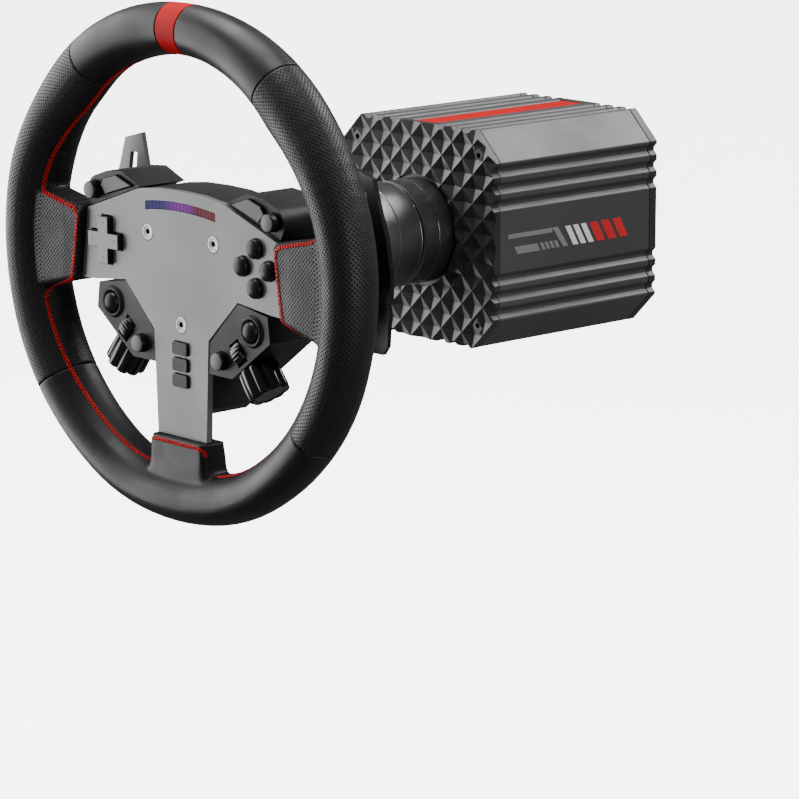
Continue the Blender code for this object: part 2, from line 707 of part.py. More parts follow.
def face_button_places():
    x, z = BUTTON_CLUSTER
    step = BUTTON_SPACING
    return {
        "button_top": (x, z + step), "button_left": (x - step, z),
        "button_right": (x + step, z), "button_bottom": (x, z - step),
    }


def led_outline(grow):
    """The curved bar of the rev lights, on an arc about a point far below."""
    points = []
    steps = 10
    for radius, order in ((LED_RADIUS + grow, 1), (LED_RADIUS - LED_HEIGHT - grow, -1)):
        half = math.asin((LED_HALF_WIDTH + grow) / radius)
        arc = [half * (2 * i / steps - 1) for i in range(steps + 1)][::order]
        middle = LED_TOP - LED_RADIUS
        points += [(radius * math.sin(a), middle + radius * math.cos(a)) for a in arc]
    return points


def control_openings(clear):
    """Cutters for every control that passes through the plate."""
    front = PLATE_FRONT - MM
    back = PLATE_BACK + MM
    cutters = []
    for place in face_button_places().values():
        cutters.append(prism("cut", circle_outline(place, BUTTON_RADIUS + clear, 16), front, back))
    cross = cross_outline(DPAD_CENTRE, DPAD_REACH + 2 * clear, DPAD_ARM + 2 * clear)
    cutters.append(prism("cut", cross, front, back))
    for height in KEY_HEIGHTS:
        size = (KEY_SIZE[0] + 2 * clear, KEY_SIZE[1] + 2 * clear)
        key = rounded_rectangle((0, height), size[0], size[1], 1.5 * MM, 2)
        cutters.append(prism("cut", key, front, back))
    return cutters


def screw_cutter(place):
    head = PLATE_SCREW_HEAD + GAP
    shank = PLATE_SCREW_SHANK + GAP
    return turned("cut", [
        (0, PLATE_FRONT - MM), (head, PLATE_FRONT - MM), (head, PLATE_FRONT + 1.6 * MM),
        (shank, PLATE_FRONT + 2.2 * MM), (shank, CORE_BACK + MM), (0, CORE_BACK + MM),
    ], place, 16)


def front_plate(frame):
    plate = prism("front_plate", whole_outline(PLATE_OUTLINE), PLATE_FRONT, PLATE_BACK)
    for cutter in control_openings(0.4 * MM):
        boolean(plate, cutter)
    for place in screw_places():
        boolean(plate, screw_cutter(place))
    boolean(plate, prism("cut", led_outline(GAP), PLATE_FRONT - MM, PLATE_BACK - MM))
    finish_piece(plate, "grey_plate", frame)
    lens = prism("rev_light_lens", led_outline(0), PLATE_FRONT + 0.2 * MM, PLATE_BACK - MM - GAP)
    finish_piece(lens, "clear_lens", frame)
    for number, place in enumerate(screw_places(), 1):
        screw = turned(f"plate_screw_{number}", [
            (0, PLATE_FRONT + 0.1 * MM), (PLATE_SCREW_HEAD, PLATE_FRONT + 0.1 * MM),
            (PLATE_SCREW_HEAD, PLATE_FRONT + 1.2 * MM), (PLATE_SCREW_SHANK, PLATE_FRONT + 1.8 * MM),
            (PLATE_SCREW_SHANK, CORE_BACK), (0, CORE_BACK),
        ], place, 16)
        finish_piece(screw, "steel", frame)


def rim_core(frame):
    core = prism("rim_core", whole_outline(CORE_OUTLINE), CORE_FRONT, CORE_BACK)
    boolean(core, core_ring("cut", 0), "UNION")
    pocket = circle_outline(DPAD_CENTRE, 4.6 * MM, 12)
    boolean(core, prism("cut", pocket, CORE_FRONT - MM, CORE_BACK + MM))
    for place in screw_places():
        boolean(core, screw_cutter(place))
    finish_piece(core, "steel", frame)


def rear_housing(frame):
    """The casing behind the plate: it takes in the core and has ears for the paddle hinges."""
    outline = whole_outline(HOUSING_OUTLINE)
    housing = prism("rear_housing", outline, HOUSING_FRONT, HOUSING_BACK)
    hollow = inset_outline(outline, WALL)
    boolean(housing, prism("cut", hollow, HOUSING_FRONT - MM, HOUSING_BACK - WALL))
    arms = inset_outline(whole_outline(CORE_OUTLINE), -GAP)
    boolean(housing, prism("cut", arms, HOUSING_FRONT - MM, CORE_BACK + GAP))
    x, y = PADDLE_PIVOT
    for side in (-1, 1):
        for low in HINGE_EARS:
            left, right = sorted((side * (x - 5 * MM), side * (x + 5 * MM)))
            top = low + HINGE_EAR_HEIGHT
            ear = box("cut", (left, HOUSING_BACK - MM, low), (right, y + 5 * MM, top))
            boolean(housing, ear, "UNION")
        pin = circle_outline((side * x, y), HINGE_PIN_RADIUS + 0.4 * MM, 12)
        hole = prism("cut", pin, -18 * MM, 18 * MM)
        turn_upright(hole)
        boolean(housing, hole)
    finish_piece(housing, "black_plastic", frame)
    board = prism("control_board", inset_outline(outline, WALL + 1.5 * MM), 9 * MM, 10.6 * MM)
    finish_piece(board, "circuit_board", frame)


def turn_upright(obj):
    """Swap a prism's depth and height, for a shape that runs along Z."""
    for vertex in obj.data.vertices:
        vertex.co.y, vertex.co.z = vertex.co.z, vertex.co.y
    obj.data.flip_normals()


# ---------------------------------------------------------------- pods and their controls


def side_name(side):
    return "right" if side > 0 else "left"


def pod(name, outline, front, side, holes, finish, frame):
    """A hollow pod with a solid front, pierced for its controls."""
    solid = prism(name, mirrored(outline, side), front, POD_BACK)
    hollow = inset_outline(mirrored(outline, side), WALL)
    boolean(solid, prism("cut", hollow, front + WALL, POD_BACK - WALL))
    for hole in holes:
        boolean(solid, hole)
    return finish_piece(solid, finish, frame)


def upper_pod(side, frame):
    end = side_name(side)
    at = (side * ROUND_BUTTON_AT[0], ROUND_BUTTON_AT[1])
    wedge = mirrored(WEDGE_OUTLINE, side)
    front = UPPER_POD_FRONT
    holes = [
        prism("cut", circle_outline(at, 5.9 * MM, 20), front - MM, CONTROL_DEPTH),
        prism("cut", inset_outline(wedge, -0.4 * MM), front - MM, CONTROL_DEPTH),
    ]
    pod(f"upper_pod_{end}", UPPER_POD_OUTLINE, front, side, holes, "black_plastic", frame)
    button = turned(f"round_button_{end}", [
        (0, -8.2 * MM), (4.4 * MM, -8.0 * MM), (5.4 * MM, -7.0 * MM), (5.4 * MM, 6 * MM), (0, 6 * MM),
    ], at)
    finish_piece(button, "grey_plastic", frame, (at[0], 6 * MM, at[1]))
    key = prism(f"wedge_button_{end}", wedge, -4.4 * MM, 6 * MM)
    middle = (sum(x for x, z in wedge) / len(wedge), 6 * MM, sum(z for x, z in wedge) / len(wedge))
    finish_piece(key, "grey_plastic", frame, middle)


def along_knob(side):
    """Directions of a lower pod's knob axis and of its lower edge, as (x, z)."""
    (x1, z1), (x2, z2) = LOWER_POD_OUTLINE[3:5]
    length = math.hypot(x2 - x1, z2 - z1)
    edge = ((x2 - x1) / length, (z2 - z1) / length)
    return (side * -edge[1], edge[0]), (side * edge[0], edge[1])


def place_along(obj, direction, centre):
    """Turn a piece made along +Y so that its axis follows an (x, z) direction from a point."""
    dx, dz = direction
    for vertex in obj.data.vertices:
        x, y, z = vertex.co
        vertex.co = (centre[0] + y * dx - x * dz, centre[1] + z, centre[2] + y * dz + x * dx)


def rotary_knob(side, frame):
    """A fluted knob on the pod's lower edge, with its spindle through the wall."""
    (x1, z1), (x2, z2) = LOWER_POD_OUTLINE[3:5]
    centre = (side * (x1 + x2) / 2, KNOB_DEPTH, (z1 + z2) / 2)
    steps = KNOB_FLUTES * 6
    outline = []
    for i in range(steps):
        angle = math.tau * i / steps
        phase = abs(math.sin(angle * KNOB_FLUTES / 2))
        radius = KNOB_RADIUS - 1.5 * MM * (1 - phase) ** 1.5
        outline.append((radius * math.cos(angle), radius * math.sin(angle)))
    start = 0.6 * MM
    knob = prism(f"knob_{side_name(side)}", outline, start, start + KNOB_LENGTH)
    spindle = prism("cut", circle_outline((0, 0), 2.6 * MM, 12), -2.4 * MM, start + MM)
    boolean(knob, spindle, "UNION")
    place_along(knob, along_knob(side)[0], centre)
    finish_piece(knob, "gloss_black", frame, centre)


def thumb_roller(side, frame):
    """A small wheel sunk in the pod's face; it turns about a line along the pod's lower edge."""
    centre = (side * ROLLER_AT[0], ROLLER_DEPTH, ROLLER_AT[1])
    half = ROLLER_HALF_WIDTH
    roller = turned(f"roller_{side_name(side)}", [
        (0, -half), (ROLLER_RADIUS - 0.8 * MM, -half), (ROLLER_RADIUS, -half + 0.8 * MM),
        (ROLLER_RADIUS, half - 0.8 * MM), (ROLLER_RADIUS - 0.8 * MM, half), (0, half),
    ], segments=24)
    place_along(roller, along_knob(side)[1], centre)
    finish_piece(roller, "gloss_black", frame, centre)


def lower_pod(side, frame):
    end = side_name(side)
    front = LOWER_POD_FRONT
    dome_at = (side * DOME_AT[0], DOME_AT[1])
    small_at = (side * SMALL_BUTTON_AT[0], SMALL_BUTTON_AT[1])
    axis, edge = along_knob(side)
    inner = CONTROL_DEPTH
    roller_at = (side * ROLLER_AT[0], ROLLER_AT[1])
    reach = ROLLER_RADIUS + 0.3 * MM
    width = ROLLER_HALF_WIDTH + 0.5 * MM
    slot = [
        (roller_at[0] + a * reach * axis[0] + b * width * edge[0],
         roller_at[1] + a * reach * axis[1] + b * width * edge[1])
        for a, b in ((1, 1), (-1, 1), (-1, -1), (1, -1))
    ]
    (x1, z1), (x2, z2) = LOWER_POD_OUTLINE[3:5]
    spindle = prism("cut", circle_outline((0, 0), 3.0 * MM, 12), -3.4 * MM, 2 * MM)
    place_along(spindle, axis, (side * (x1 + x2) / 2, KNOB_DEPTH, (z1 + z2) / 2))
    holes = [
        prism("cut", circle_outline(dome_at, 7.0 * MM, 20), front - MM, inner),
        prism("cut", circle_outline(small_at, 5.9 * MM, 20), front - MM, inner),
        prism("cut", slot, front - MM, inner),
        spindle,
    ]
    pod(f"lower_pod_{end}", LOWER_POD_OUTLINE, front, side, holes, "black_plastic", frame)
    dome = turned(f"dome_button_{end}", [
        (0, -9.0 * MM), (3.0 * MM, -8.6 * MM), (5.2 * MM, -7.2 * MM), (6.5 * MM, -5 * MM),
        (6.5 * MM, 4 * MM), (0, 4 * MM),
    ], dome_at)
    finish_piece(dome, "black_plastic", frame, (dome_at[0], 4 * MM, dome_at[1]))
    small = turned(f"small_button_{end}", [
        (0, -9.2 * MM), (4.5 * MM, -9.0 * MM), (5.4 * MM, -8.0 * MM), (5.4 * MM, 4 * MM), (0, 4 * MM),
    ], small_at)
    finish_piece(small, "grey_plastic", frame, (small_at[0], 4 * MM, small_at[1]))


def plate_controls(frame):
    for name, at in face_button_places().items():
        button = turned(name, [
            (0, -9.4 * MM), (3.2 * MM, -9.1 * MM), (5.2 * MM, -8.0 * MM), (BUTTON_RADIUS, -6.6 * MM),
            (BUTTON_RADIUS, BUTTON_BACK), (0, BUTTON_BACK),
        ], at, 16)
        finish_piece(button, "black_plastic", frame, (at[0], BUTTON_BACK, at[1]))
    for name, height in zip(("key_upper", "key_middle", "key_lower"), KEY_HEIGHTS):
        outline = rounded_rectangle((0, height), KEY_SIZE[0], KEY_SIZE[1], 1.2 * MM, 2)
        key = prism(name, outline, -6.4 * MM, BUTTON_BACK)
        finish_piece(key, "black_plastic", frame, (0, BUTTON_BACK, height))


def direction_pad(frame):
    """A cross on a stem, tilting two ways on the pivot block behind it."""
    x, z = DPAD_CENTRE
    pad = prism("dpad", cross_outline(DPAD_CENTRE, DPAD_REACH, DPAD_ARM), DPAD_FRONT, -2.2 * MM)
    boolean(pad, prism("cut", circle_outline(DPAD_CENTRE, 2.6 * MM, 12), -3 * MM, 1.0 * MM), "UNION")
    finish_piece(pad, "grey_plate", frame, (x, DPAD_PIVOT_DEPTH, z))
    pivot = turned("dpad_pivot", [
        (0, 1.4 * MM), (3.2 * MM, 1.4 * MM), (3.2 * MM, 3.4 * MM), (0, 3.4 * MM),
    ], DPAD_CENTRE, 12)
    finish_piece(pivot, "steel", frame, (x, DPAD_PIVOT_DEPTH, z))


def shift_paddle(side, frame):
    """A flat lever with a hinge barrel; its stub pins turn in the rear housing's ears."""
    x, y = PADDLE_PIVOT
    back = PADDLE_FRONT + PADDLE_THICKNESS
    paddle = prism(f"paddle_{side_name(side)}", mirrored(PADDLE_OUTLINE, side), PADDLE_FRONT, back)
    left, right = sorted((side * x, side * 58 * MM))
    boolean(paddle, box("cut", (left, y - 2 * MM, -8.8 * MM), (right, back - 0.2 * MM, 8.8 * MM)), "UNION")
    barrel = prism("cut", circle_outline((side * x, y), HINGE_BARREL_RADIUS, 16), -12 * MM, 12 * MM)
    turn_upright(barrel)
    boolean(paddle, barrel, "UNION")
    pin = prism("cut", circle_outline((side * x, y), HINGE_PIN_RADIUS, 12), -16 * MM, 16 * MM)
    turn_upright(pin)
    boolean(paddle, pin, "UNION")
    boolean(paddle, prism("cut", mirrored(PADDLE_SLOT, side), PADDLE_FRONT - MM, back + MM))
    finish_piece(paddle, "gloss_black", frame, (side * x, y, 0))


def wheel_frame():
    frame = bpy.data.objects.new("wheel_frame", None)
    frame.location = (0, RIM_Y, AXIS_HEIGHT)
    bpy.context.scene.collection.objects.link(frame)
    return frame


def build():
    clear_scene()
    base_housing()
    front_cover()
    rear_cover()
    top_stripe()
    motor()
    electronics()
    frame = wheel_frame()
    drive_shaft(frame)
    quick_release(frame)
    rim(frame)
    for place in ("left", "right", "bottom"):
        spoke_cover(f"spoke_cover_{place}", place, frame)
    front_plate(frame)
    rim_core(frame)
    rear_housing(frame)
    plate_controls(frame)
    direction_pad(frame)
    for side in (-1, 1):
        upper_pod(side, frame)
        lower_pod(side, frame)
        rotary_knob(side, frame)
        thumb_roller(side, frame)
        shift_paddle(side, frame)


build()
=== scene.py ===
"""The looks of a direct-drive racing wheel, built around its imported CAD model."""

import math
import json

import bpy
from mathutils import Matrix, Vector
from mathutils.bvhtree import BVHTree

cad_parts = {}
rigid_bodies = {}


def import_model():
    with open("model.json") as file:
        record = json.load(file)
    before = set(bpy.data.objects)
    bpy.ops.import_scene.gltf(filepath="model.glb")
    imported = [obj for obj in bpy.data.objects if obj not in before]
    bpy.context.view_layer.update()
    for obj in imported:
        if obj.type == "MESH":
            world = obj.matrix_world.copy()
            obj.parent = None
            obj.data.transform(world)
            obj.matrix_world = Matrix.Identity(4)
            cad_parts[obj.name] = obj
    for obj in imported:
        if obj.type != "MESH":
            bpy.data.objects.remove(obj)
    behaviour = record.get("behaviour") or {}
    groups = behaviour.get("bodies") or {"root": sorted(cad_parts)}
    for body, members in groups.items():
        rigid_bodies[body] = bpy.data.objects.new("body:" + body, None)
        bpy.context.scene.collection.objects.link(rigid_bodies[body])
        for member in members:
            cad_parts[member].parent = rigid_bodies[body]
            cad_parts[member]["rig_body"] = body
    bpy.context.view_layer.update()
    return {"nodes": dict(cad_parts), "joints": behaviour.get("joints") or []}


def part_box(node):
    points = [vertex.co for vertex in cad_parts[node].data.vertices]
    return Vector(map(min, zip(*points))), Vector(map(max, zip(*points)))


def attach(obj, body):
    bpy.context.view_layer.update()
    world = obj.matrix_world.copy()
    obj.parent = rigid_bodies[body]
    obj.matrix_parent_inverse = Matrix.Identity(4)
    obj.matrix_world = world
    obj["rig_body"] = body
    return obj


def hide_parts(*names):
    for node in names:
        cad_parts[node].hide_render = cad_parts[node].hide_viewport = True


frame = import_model()
bpy.ops.object.select_all(action="DESELECT")

# ---- Housing of the motor base
# One length of extruded aluminium with rounded grooves along it, sand-blasted and anodised
# dark grey.  The covers close its two ends.

MM = 0.001


def finish(name, colour, roughness, metallic=0.0):
    """A plain Principled finish; its pattern is added by the functions below."""
    mat = bpy.data.materials.new(name)
    mat.use_nodes = True
    shader = mat.node_tree.nodes["Principled BSDF"]
    shader.inputs["Base Color"].default_value = (*colour, 1.0)
    shader.inputs["Roughness"].default_value = roughness
    shader.inputs["Metallic"].default_value = metallic
    return mat


def shine(mat, level):
    """How strongly a finish mirrors light; 0.5 is ordinary plastic."""
    mat.node_tree.nodes["Principled BSDF"].inputs["Specular IOR Level"].default_value = level


def noise_of(mat, scale, detail=3.0):
    """Noise on the object's own coordinates, with the scale in waves to the metre."""
    tree = mat.node_tree
    place = tree.nodes.new("ShaderNodeTexCoord")
    noise = tree.nodes.new("ShaderNodeTexNoise")
    noise.inputs["Scale"].default_value = scale
    noise.inputs["Detail"].default_value = detail
    tree.links.new(place.outputs["Object"], noise.inputs["Vector"])
    return noise


def cloud_colour(mat, scale, dark, light):
    """Slight unevenness of the colour."""
    tree = mat.node_tree
    ramp = tree.nodes.new("ShaderNodeValToRGB")
    ramp.color_ramp.elements[0].position = 0.3
    ramp.color_ramp.elements[0].color = (*dark, 1.0)
    ramp.color_ramp.elements[1].position = 0.7
    ramp.color_ramp.elements[1].color = (*light, 1.0)
    tree.links.new(noise_of(mat, scale).outputs["Fac"], ramp.inputs["Fac"])
    tree.links.new(ramp.outputs["Color"], tree.nodes["Principled BSDF"].inputs["Base Color"])


def cloud_gloss(mat, scale, low, high):
    """Handling marks: the roughness wanders between two values."""
    tree = mat.node_tree
    spread = tree.nodes.new("ShaderNodeMapRange")
    spread.inputs["From Min"].default_value = 0.35
    spread.inputs["From Max"].default_value = 0.65
    spread.inputs["To Min"].default_value = low
    spread.inputs["To Max"].default_value = high
    tree.links.new(noise_of(mat, scale).outputs["Fac"], spread.inputs["Value"])
    tree.links.new(spread.outputs["Result"], tree.nodes["Principled BSDF"].inputs["Roughness"])


def grain(mat, scale, strength, depth=0.05 * MM):
    """Fine texture of a blasted, moulded or painted surface."""
    tree = mat.node_tree
    bump = tree.nodes.new("ShaderNodeBump")
    bump.inputs["Strength"].default_value = strength
    bump.inputs["Distance"].default_value = depth
    tree.links.new(noise_of(mat, scale, 2.0).outputs["Fac"], bump.inputs["Height"])
    tree.links.new(bump.outputs["Normal"], tree.nodes["Principled BSDF"].inputs["Normal"])


def stand_for(piece, node, mats):
    """Give a finished piece its materials, and let it stand for a CAD node on its body."""
    piece.data.materials.clear()
    for mat in mats:
        piece.data.materials.append(mat)
    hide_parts(node)
    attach(piece, frame["nodes"][node]["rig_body"])
    bpy.ops.object.select_all(action="DESELECT")
    return piece


def begin(piece):
    """Make a piece the only selected and active object."""
    bpy.ops.object.select_all(action="DESELECT")
    piece.select_set(True)
    bpy.context.view_layer.objects.active = piece


def merged_copy(node, name):
    """A copy of a CAD node's mesh with its loose triangles joined up again."""
    piece = bpy.data.objects.new(name, frame["nodes"][node].data.copy())
    bpy.context.scene.collection.objects.link(piece)
    begin(piece)
    bpy.ops.object.mode_set(mode="EDIT")
    bpy.ops.mesh.select_all(action="SELECT")
    bpy.ops.mesh.customdata_custom_splitnormals_clear()
    bpy.ops.mesh.remove_doubles(threshold=0.01 * MM)
    bpy.ops.mesh.dissolve_limited(angle_limit=math.radians(0.4))
    bpy.ops.mesh.normals_make_consistent(inside=False)
    bpy.ops.mesh.select_all(action="DESELECT")
    bpy.ops.object.mode_set(mode="OBJECT")
    return piece


def round_edges(piece, radius, segments=2, angle=30):
    """Round every sharp edge and keep the flats flat."""
    begin(piece)
    bpy.ops.object.shade_smooth()
    bevel = piece.modifiers.new("edges", "BEVEL")
    bevel.width = radius
    bevel.segments = segments
    bevel.limit_method = "ANGLE"
    bevel.angle_limit = math.radians(angle)
    bevel.harden_normals = True
    bpy.ops.object.modifier_apply(modifier="edges")


def rounded(node, name, radius, mats, segments=2, angle=30):
    """A CAD node's shape with its edges rounded, standing for the node."""
    piece = merged_copy(node, name)
    round_edges(piece, radius, segments, angle)
    return stand_for(piece, node, mats)


anodised = finish("blasted_dark_aluminium", (0.075, 0.075, 0.078), 0.42, 0.35)
cloud_colour(anodised, 9.0, (0.070, 0.070, 0.073), (0.082, 0.082, 0.085))
cloud_gloss(anodised, 22.0, 0.40, 0.50)
grain(anodised, 2600.0, 0.35)
rounded("base_housing", "grooved_housing", 1.1 * MM, [anodised], 3)

# ---- Front cover
# A die-cast square whose face is a lattice of pits between sharp ridges, painted satin
# charcoal.  Four screws hold it, on small round pads.

cast = finish("satin_charcoal_casting", (0.035, 0.035, 0.037), 0.40, 0.35)
cloud_colour(cast, 14.0, (0.031, 0.031, 0.033), (0.042, 0.042, 0.044))
cloud_gloss(cast, 30.0, 0.36, 0.48)
grain(cast, 2200.0, 0.30)
rounded("front_cover", "pitted_front_cover", 0.22 * MM, [cast], 1, 12)

# ---- Rear cover, red strip and sockets
# The flat rear cover carries the power and data sockets and the power button.  The red strip
# is a painted inlay in the top groove.

rounded("rear_cover", "flat_rear_cover", 0.5 * MM, [cast])

strip_red = finish("painted_red_strip", (0.42, 0.0012, 0.002), 0.6)
shine(strip_red, 0.1)
cloud_colour(strip_red, 12.0, (0.40, 0.001, 0.0018), (0.45, 0.0015, 0.0025))
grain(strip_red, 2400.0, 0.25)
rounded("top_stripe", "red_top_strip", 0.25 * MM, [strip_red])

socket_black = finish("black_socket_moulding", (0.012, 0.012, 0.013), 0.45)
cloud_gloss(socket_black, 60.0, 0.38, 0.52)
grain(socket_black, 3000.0, 0.3)
rounded("power_socket", "power_inlet", 0.4 * MM, [socket_black])
rounded("power_button", "round_power_button", 0.4 * MM, [socket_black])

steel = finish("bright_steel", (0.62, 0.62, 0.64), 0.25, 1.0)
cloud_gloss(steel, 80.0, 0.20, 0.34)
grain(steel, 1500.0, 0.12)
rounded("usb_socket", "data_socket", 0.3 * MM, [steel])

# ---- Inside the base
# The motor, its bearings and the controller board stay as the CAD has them, out of sight.

copper = finish("enamelled_copper", (0.50, 0.18, 0.06), 0.38, 0.8)
cloud_colour(copper, 90.0, (0.40, 0.13, 0.04), (0.58, 0.24, 0.09))
board_green = finish("green_circuit_board", (0.010, 0.080, 0.030), 0.45)
cloud_colour(board_green, 60.0, (0.008, 0.065, 0.024), (0.014, 0.100, 0.038))
board_black = finish("black_circuit_board", (0.008, 0.009, 0.009), 0.50)
cloud_colour(board_black, 60.0, (0.006, 0.007, 0.007), (0.011, 0.012, 0.012))
for node, mat in (
    ("motor_stator", copper), ("motor_rotor", steel), ("front_bearing", steel),
    ("rear_bearing", steel), ("controller_board", board_green), ("control_board", board_black),
    ("rim_core", steel), ("dpad_pivot", steel),
):
    inner = frame["nodes"][node]
    inner.data.materials.clear()
    inner.data.materials.append(mat)

# ---- Side stripes on the base
# Printed slanted bars on both side panels, in grey, white and red.

ink = {
    "grey": finish("grey_print", (0.22, 0.22, 0.23), 0.5),
    "white": finish("white_print", (0.80, 0.80, 0.80), 0.5),
    "red": finish("red_print", (0.60, 0.010, 0.015), 0.45),
}
for colour_name, mat in ink.items():
    grain(mat, 1800.0, 0.15)
    cloud_gloss(mat, 50.0, 0.42, 0.55)

housing_low, housing_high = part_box("base_housing")
panel_front = housing_low.y
panel_length = housing_high.y - housing_low.y
panel_drop = 36 * MM
panel_top = (housing_low.z + housing_high.z) / 2 + panel_drop / 2
PRINT_DEPTH = 0.12 * MM


def slanted_bar(name, side, start, stop, upper, lower, lean, mat):
    """A thin printed bar; start and stop run front to back, upper and lower down the panel."""
    out = housing_high.x
    bpy.ops.mesh.primitive_cube_add(size=1, location=(0, 0, 0))
    bar = bpy.context.object
    bar.name = name
    for vertex in bar.data.vertices:
        low = vertex.co.z < 0
        along = start if vertex.co.y < 0 else stop
        along += lean * (lower - upper) if low else 0.0
        height = lower if low else upper
        x = out + (PRINT_DEPTH if vertex.co.x > 0 else -PRINT_DEPTH)
        vertex.co = (side * x, panel_front + along * panel_length, panel_top - height * panel_drop)
    bpy.ops.object.mode_set(mode="EDIT")
    bpy.ops.mesh.select_all(action="SELECT")
    bpy.ops.mesh.normals_make_consistent(inside=False)
    bpy.ops.object.mode_set(mode="OBJECT")
    bar.data.materials.append(mat)
    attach(bar, "base")
    return bar


SLANT = 0.16
# Each row repeats one bar: name, count, first start, step, width, upper and lower edge, ink
BAR_ROWS = (
    ("dash", 4, 0.256, 0.031, 0.020, 0.61, 0.74, "grey"),
    ("bar", 3, 0.425, 0.052, 0.034, 0.39, 0.74, "white"),
    ("flash", 3, 0.585, 0.078, 0.056, 0.39, 0.74, "red"),
)
for side, end in ((1, "right"), (-1, "left")):
    slanted_bar(f"side_line_{end}", side, 0.050, 0.340, 0.38, 0.46, 0.0, ink["grey"])
    slanted_bar(f"side_hook_{end}", side, 0.341, 0.376, 0.38, 0.74, 0.20, ink["grey"])
    slanted_bar(f"side_block_{end}", side, 0.09, 0.24, 0.61, 0.74, SLANT, ink["grey"])
    for bar_name, count, first, step, width, upper, lower, colour_name in BAR_ROWS:
        for i in range(count):
            start = first + step * i
            slanted_bar(
                f"side_{bar_name}_{end}_{i}", side, start, start + width, upper, lower,
                SLANT, ink[colour_name],
            )

# ---- Shaft, quick release and its collar
# Turned aluminium, anodised dark and polished, with thin bright rings where two parts meet.
# The collar slides towards the driver to free the wheel.

turned_dark = finish("turned_dark_aluminium", (0.16, 0.16, 0.165), 0.33, 0.9)
cloud_colour(turned_dark, 25.0, (0.15, 0.15, 0.155), (0.18, 0.18, 0.185))
cloud_gloss(turned_dark, 40.0, 0.30, 0.37)
turned_tree = turned_dark.node_tree
turned_place = turned_tree.nodes.new("ShaderNodeTexCoord")
turned_stretch = turned_tree.nodes.new("ShaderNodeMapping")
turned_stretch.inputs["Scale"].default_value = (6.0, 2200.0, 6.0)
turned_lines = turned_tree.nodes.new("ShaderNodeTexNoise")
turned_lines.inputs["Scale"].default_value = 1.0
turned_bump = turned_tree.nodes.new("ShaderNodeBump")
turned_bump.inputs["Strength"].default_value = 0.10
turned_bump.inputs["Distance"].default_value = 0.02 * MM
turned_tree.links.new(turned_place.outputs["Object"], turned_stretch.inputs["Vector"])
turned_tree.links.new(turned_stretch.outputs["Vector"], turned_lines.inputs["Vector"])
turned_tree.links.new(turned_lines.outputs["Fac"], turned_bump.inputs["Height"])
turned_tree.links.new(
    turned_bump.outputs["Normal"], turned_tree.nodes["Principled BSDF"].inputs["Normal"]
)

hub_at = Vector(next(j for j in frame["joints"] if j["name"] == "wheel_spin")["pos_m"])


def turned_piece(name, profile, at=(0, 0), segments=96):
    """A closed solid spun about a line along Y; profile points are (radius, depth)."""
    mesh = bpy.data.meshes.new(name)
    points = [(radius, depth, 0) for radius, depth in profile]
    mesh.from_pydata(points, [(i, i + 1) for i in range(len(points) - 1)], [])
    piece = bpy.data.objects.new(name, mesh)
    bpy.context.scene.collection.objects.link(piece)
    begin(piece)
    bpy.ops.object.mode_set(mode="EDIT")
    bpy.ops.mesh.select_all(action="SELECT")
    bpy.ops.mesh.spin(
        steps=segments, angle=math.tau, center=(0, 0, 0), axis=(0, 1, 0), use_normal_flip=False
    )
    bpy.ops.mesh.select_all(action="SELECT")
    bpy.ops.mesh.remove_doubles(threshold=0.002 * MM)
    bpy.ops.mesh.normals_make_consistent(inside=False)
    bpy.ops.transform.translate(value=(at[0] + hub_at.x, hub_at.y, at[1] + hub_at.z))
    bpy.ops.object.mode_set(mode="OBJECT")
    bpy.ops.object.shade_smooth_by_angle(angle=math.radians(32))
    return piece


collar = turned_piece("spring_collar", [(r * MM, y * MM) for r, y in [
    (24.3, 113.0), (30.6, 113.0), (32.4, 113.7), (33.0, 115.2), (33.0, 141.6), (32.5, 142.2),
    (32.5, 143.0), (33.0, 143.6), (33.0, 160.4), (32.2, 161.4), (24.3, 161.6), (24.3, 113.0),
]])
stand_for(collar, "release_collar", [turned_dark])

coupling = turned_piece("shaft_coupling", [(r * MM, y * MM) for r, y in [
    (0, 122.0), (13.0, 122.0), (14.0, 123.0), (14.0, 163.4), (32.0, 163.4), (33.0, 164.2),
    (33.0, 175.0), (32.4, 175.5), (32.4, 176.2), (33.0, 176.7), (33.0, 188.2), (15.0, 188.2),
    (15.0, 307.8), (0, 307.8),
]])
stand_for(coupling, "drive_shaft", [turned_dark])

hub = turned_piece("release_hub", [(r * MM, y * MM) for r, y in [
    (0, 118.0), (14.3, 118.0), (14.3, 161.0), (24.0, 161.0), (24.0, 100.6), (24.6, 100.0),
    (27.0, 99.0), (28.0, 97.6), (28.0, 40.6), (28.6, 39.6), (30.0, 38.8), (30.0, 34.3), (0, 34.3),
]])
stand_for(hub, "quick_release_hub", [turned_dark])

bright_edge = finish("polished_edge", (0.55, 0.55, 0.57), 0.18, 1.0)
cloud_gloss(bright_edge, 90.0, 0.14, 0.24)
RING_SECTION = [
    (32.4, -0.35), (33.05, -0.35), (33.15, 0.0), (33.05, 0.35), (32.4, 0.35), (32.4, -0.35),
]
for number, (body, depth) in enumerate((("release_collar", 160.9), ("wheel", 175.9)), 1):
    ring = turned_piece(
        f"bright_ring_{number}", [(r * MM, (depth + y) * MM) for r, y in RING_SECTION]
    )
    ring.data.materials.append(bright_edge)
    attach(ring, body)

# ---- Rim
# A padded ring wrapped in leather: smooth at the top and bottom, perforated on the side grips,
# with a red band at twelve o'clock.  Each length is sewn to the next at a tight seam.

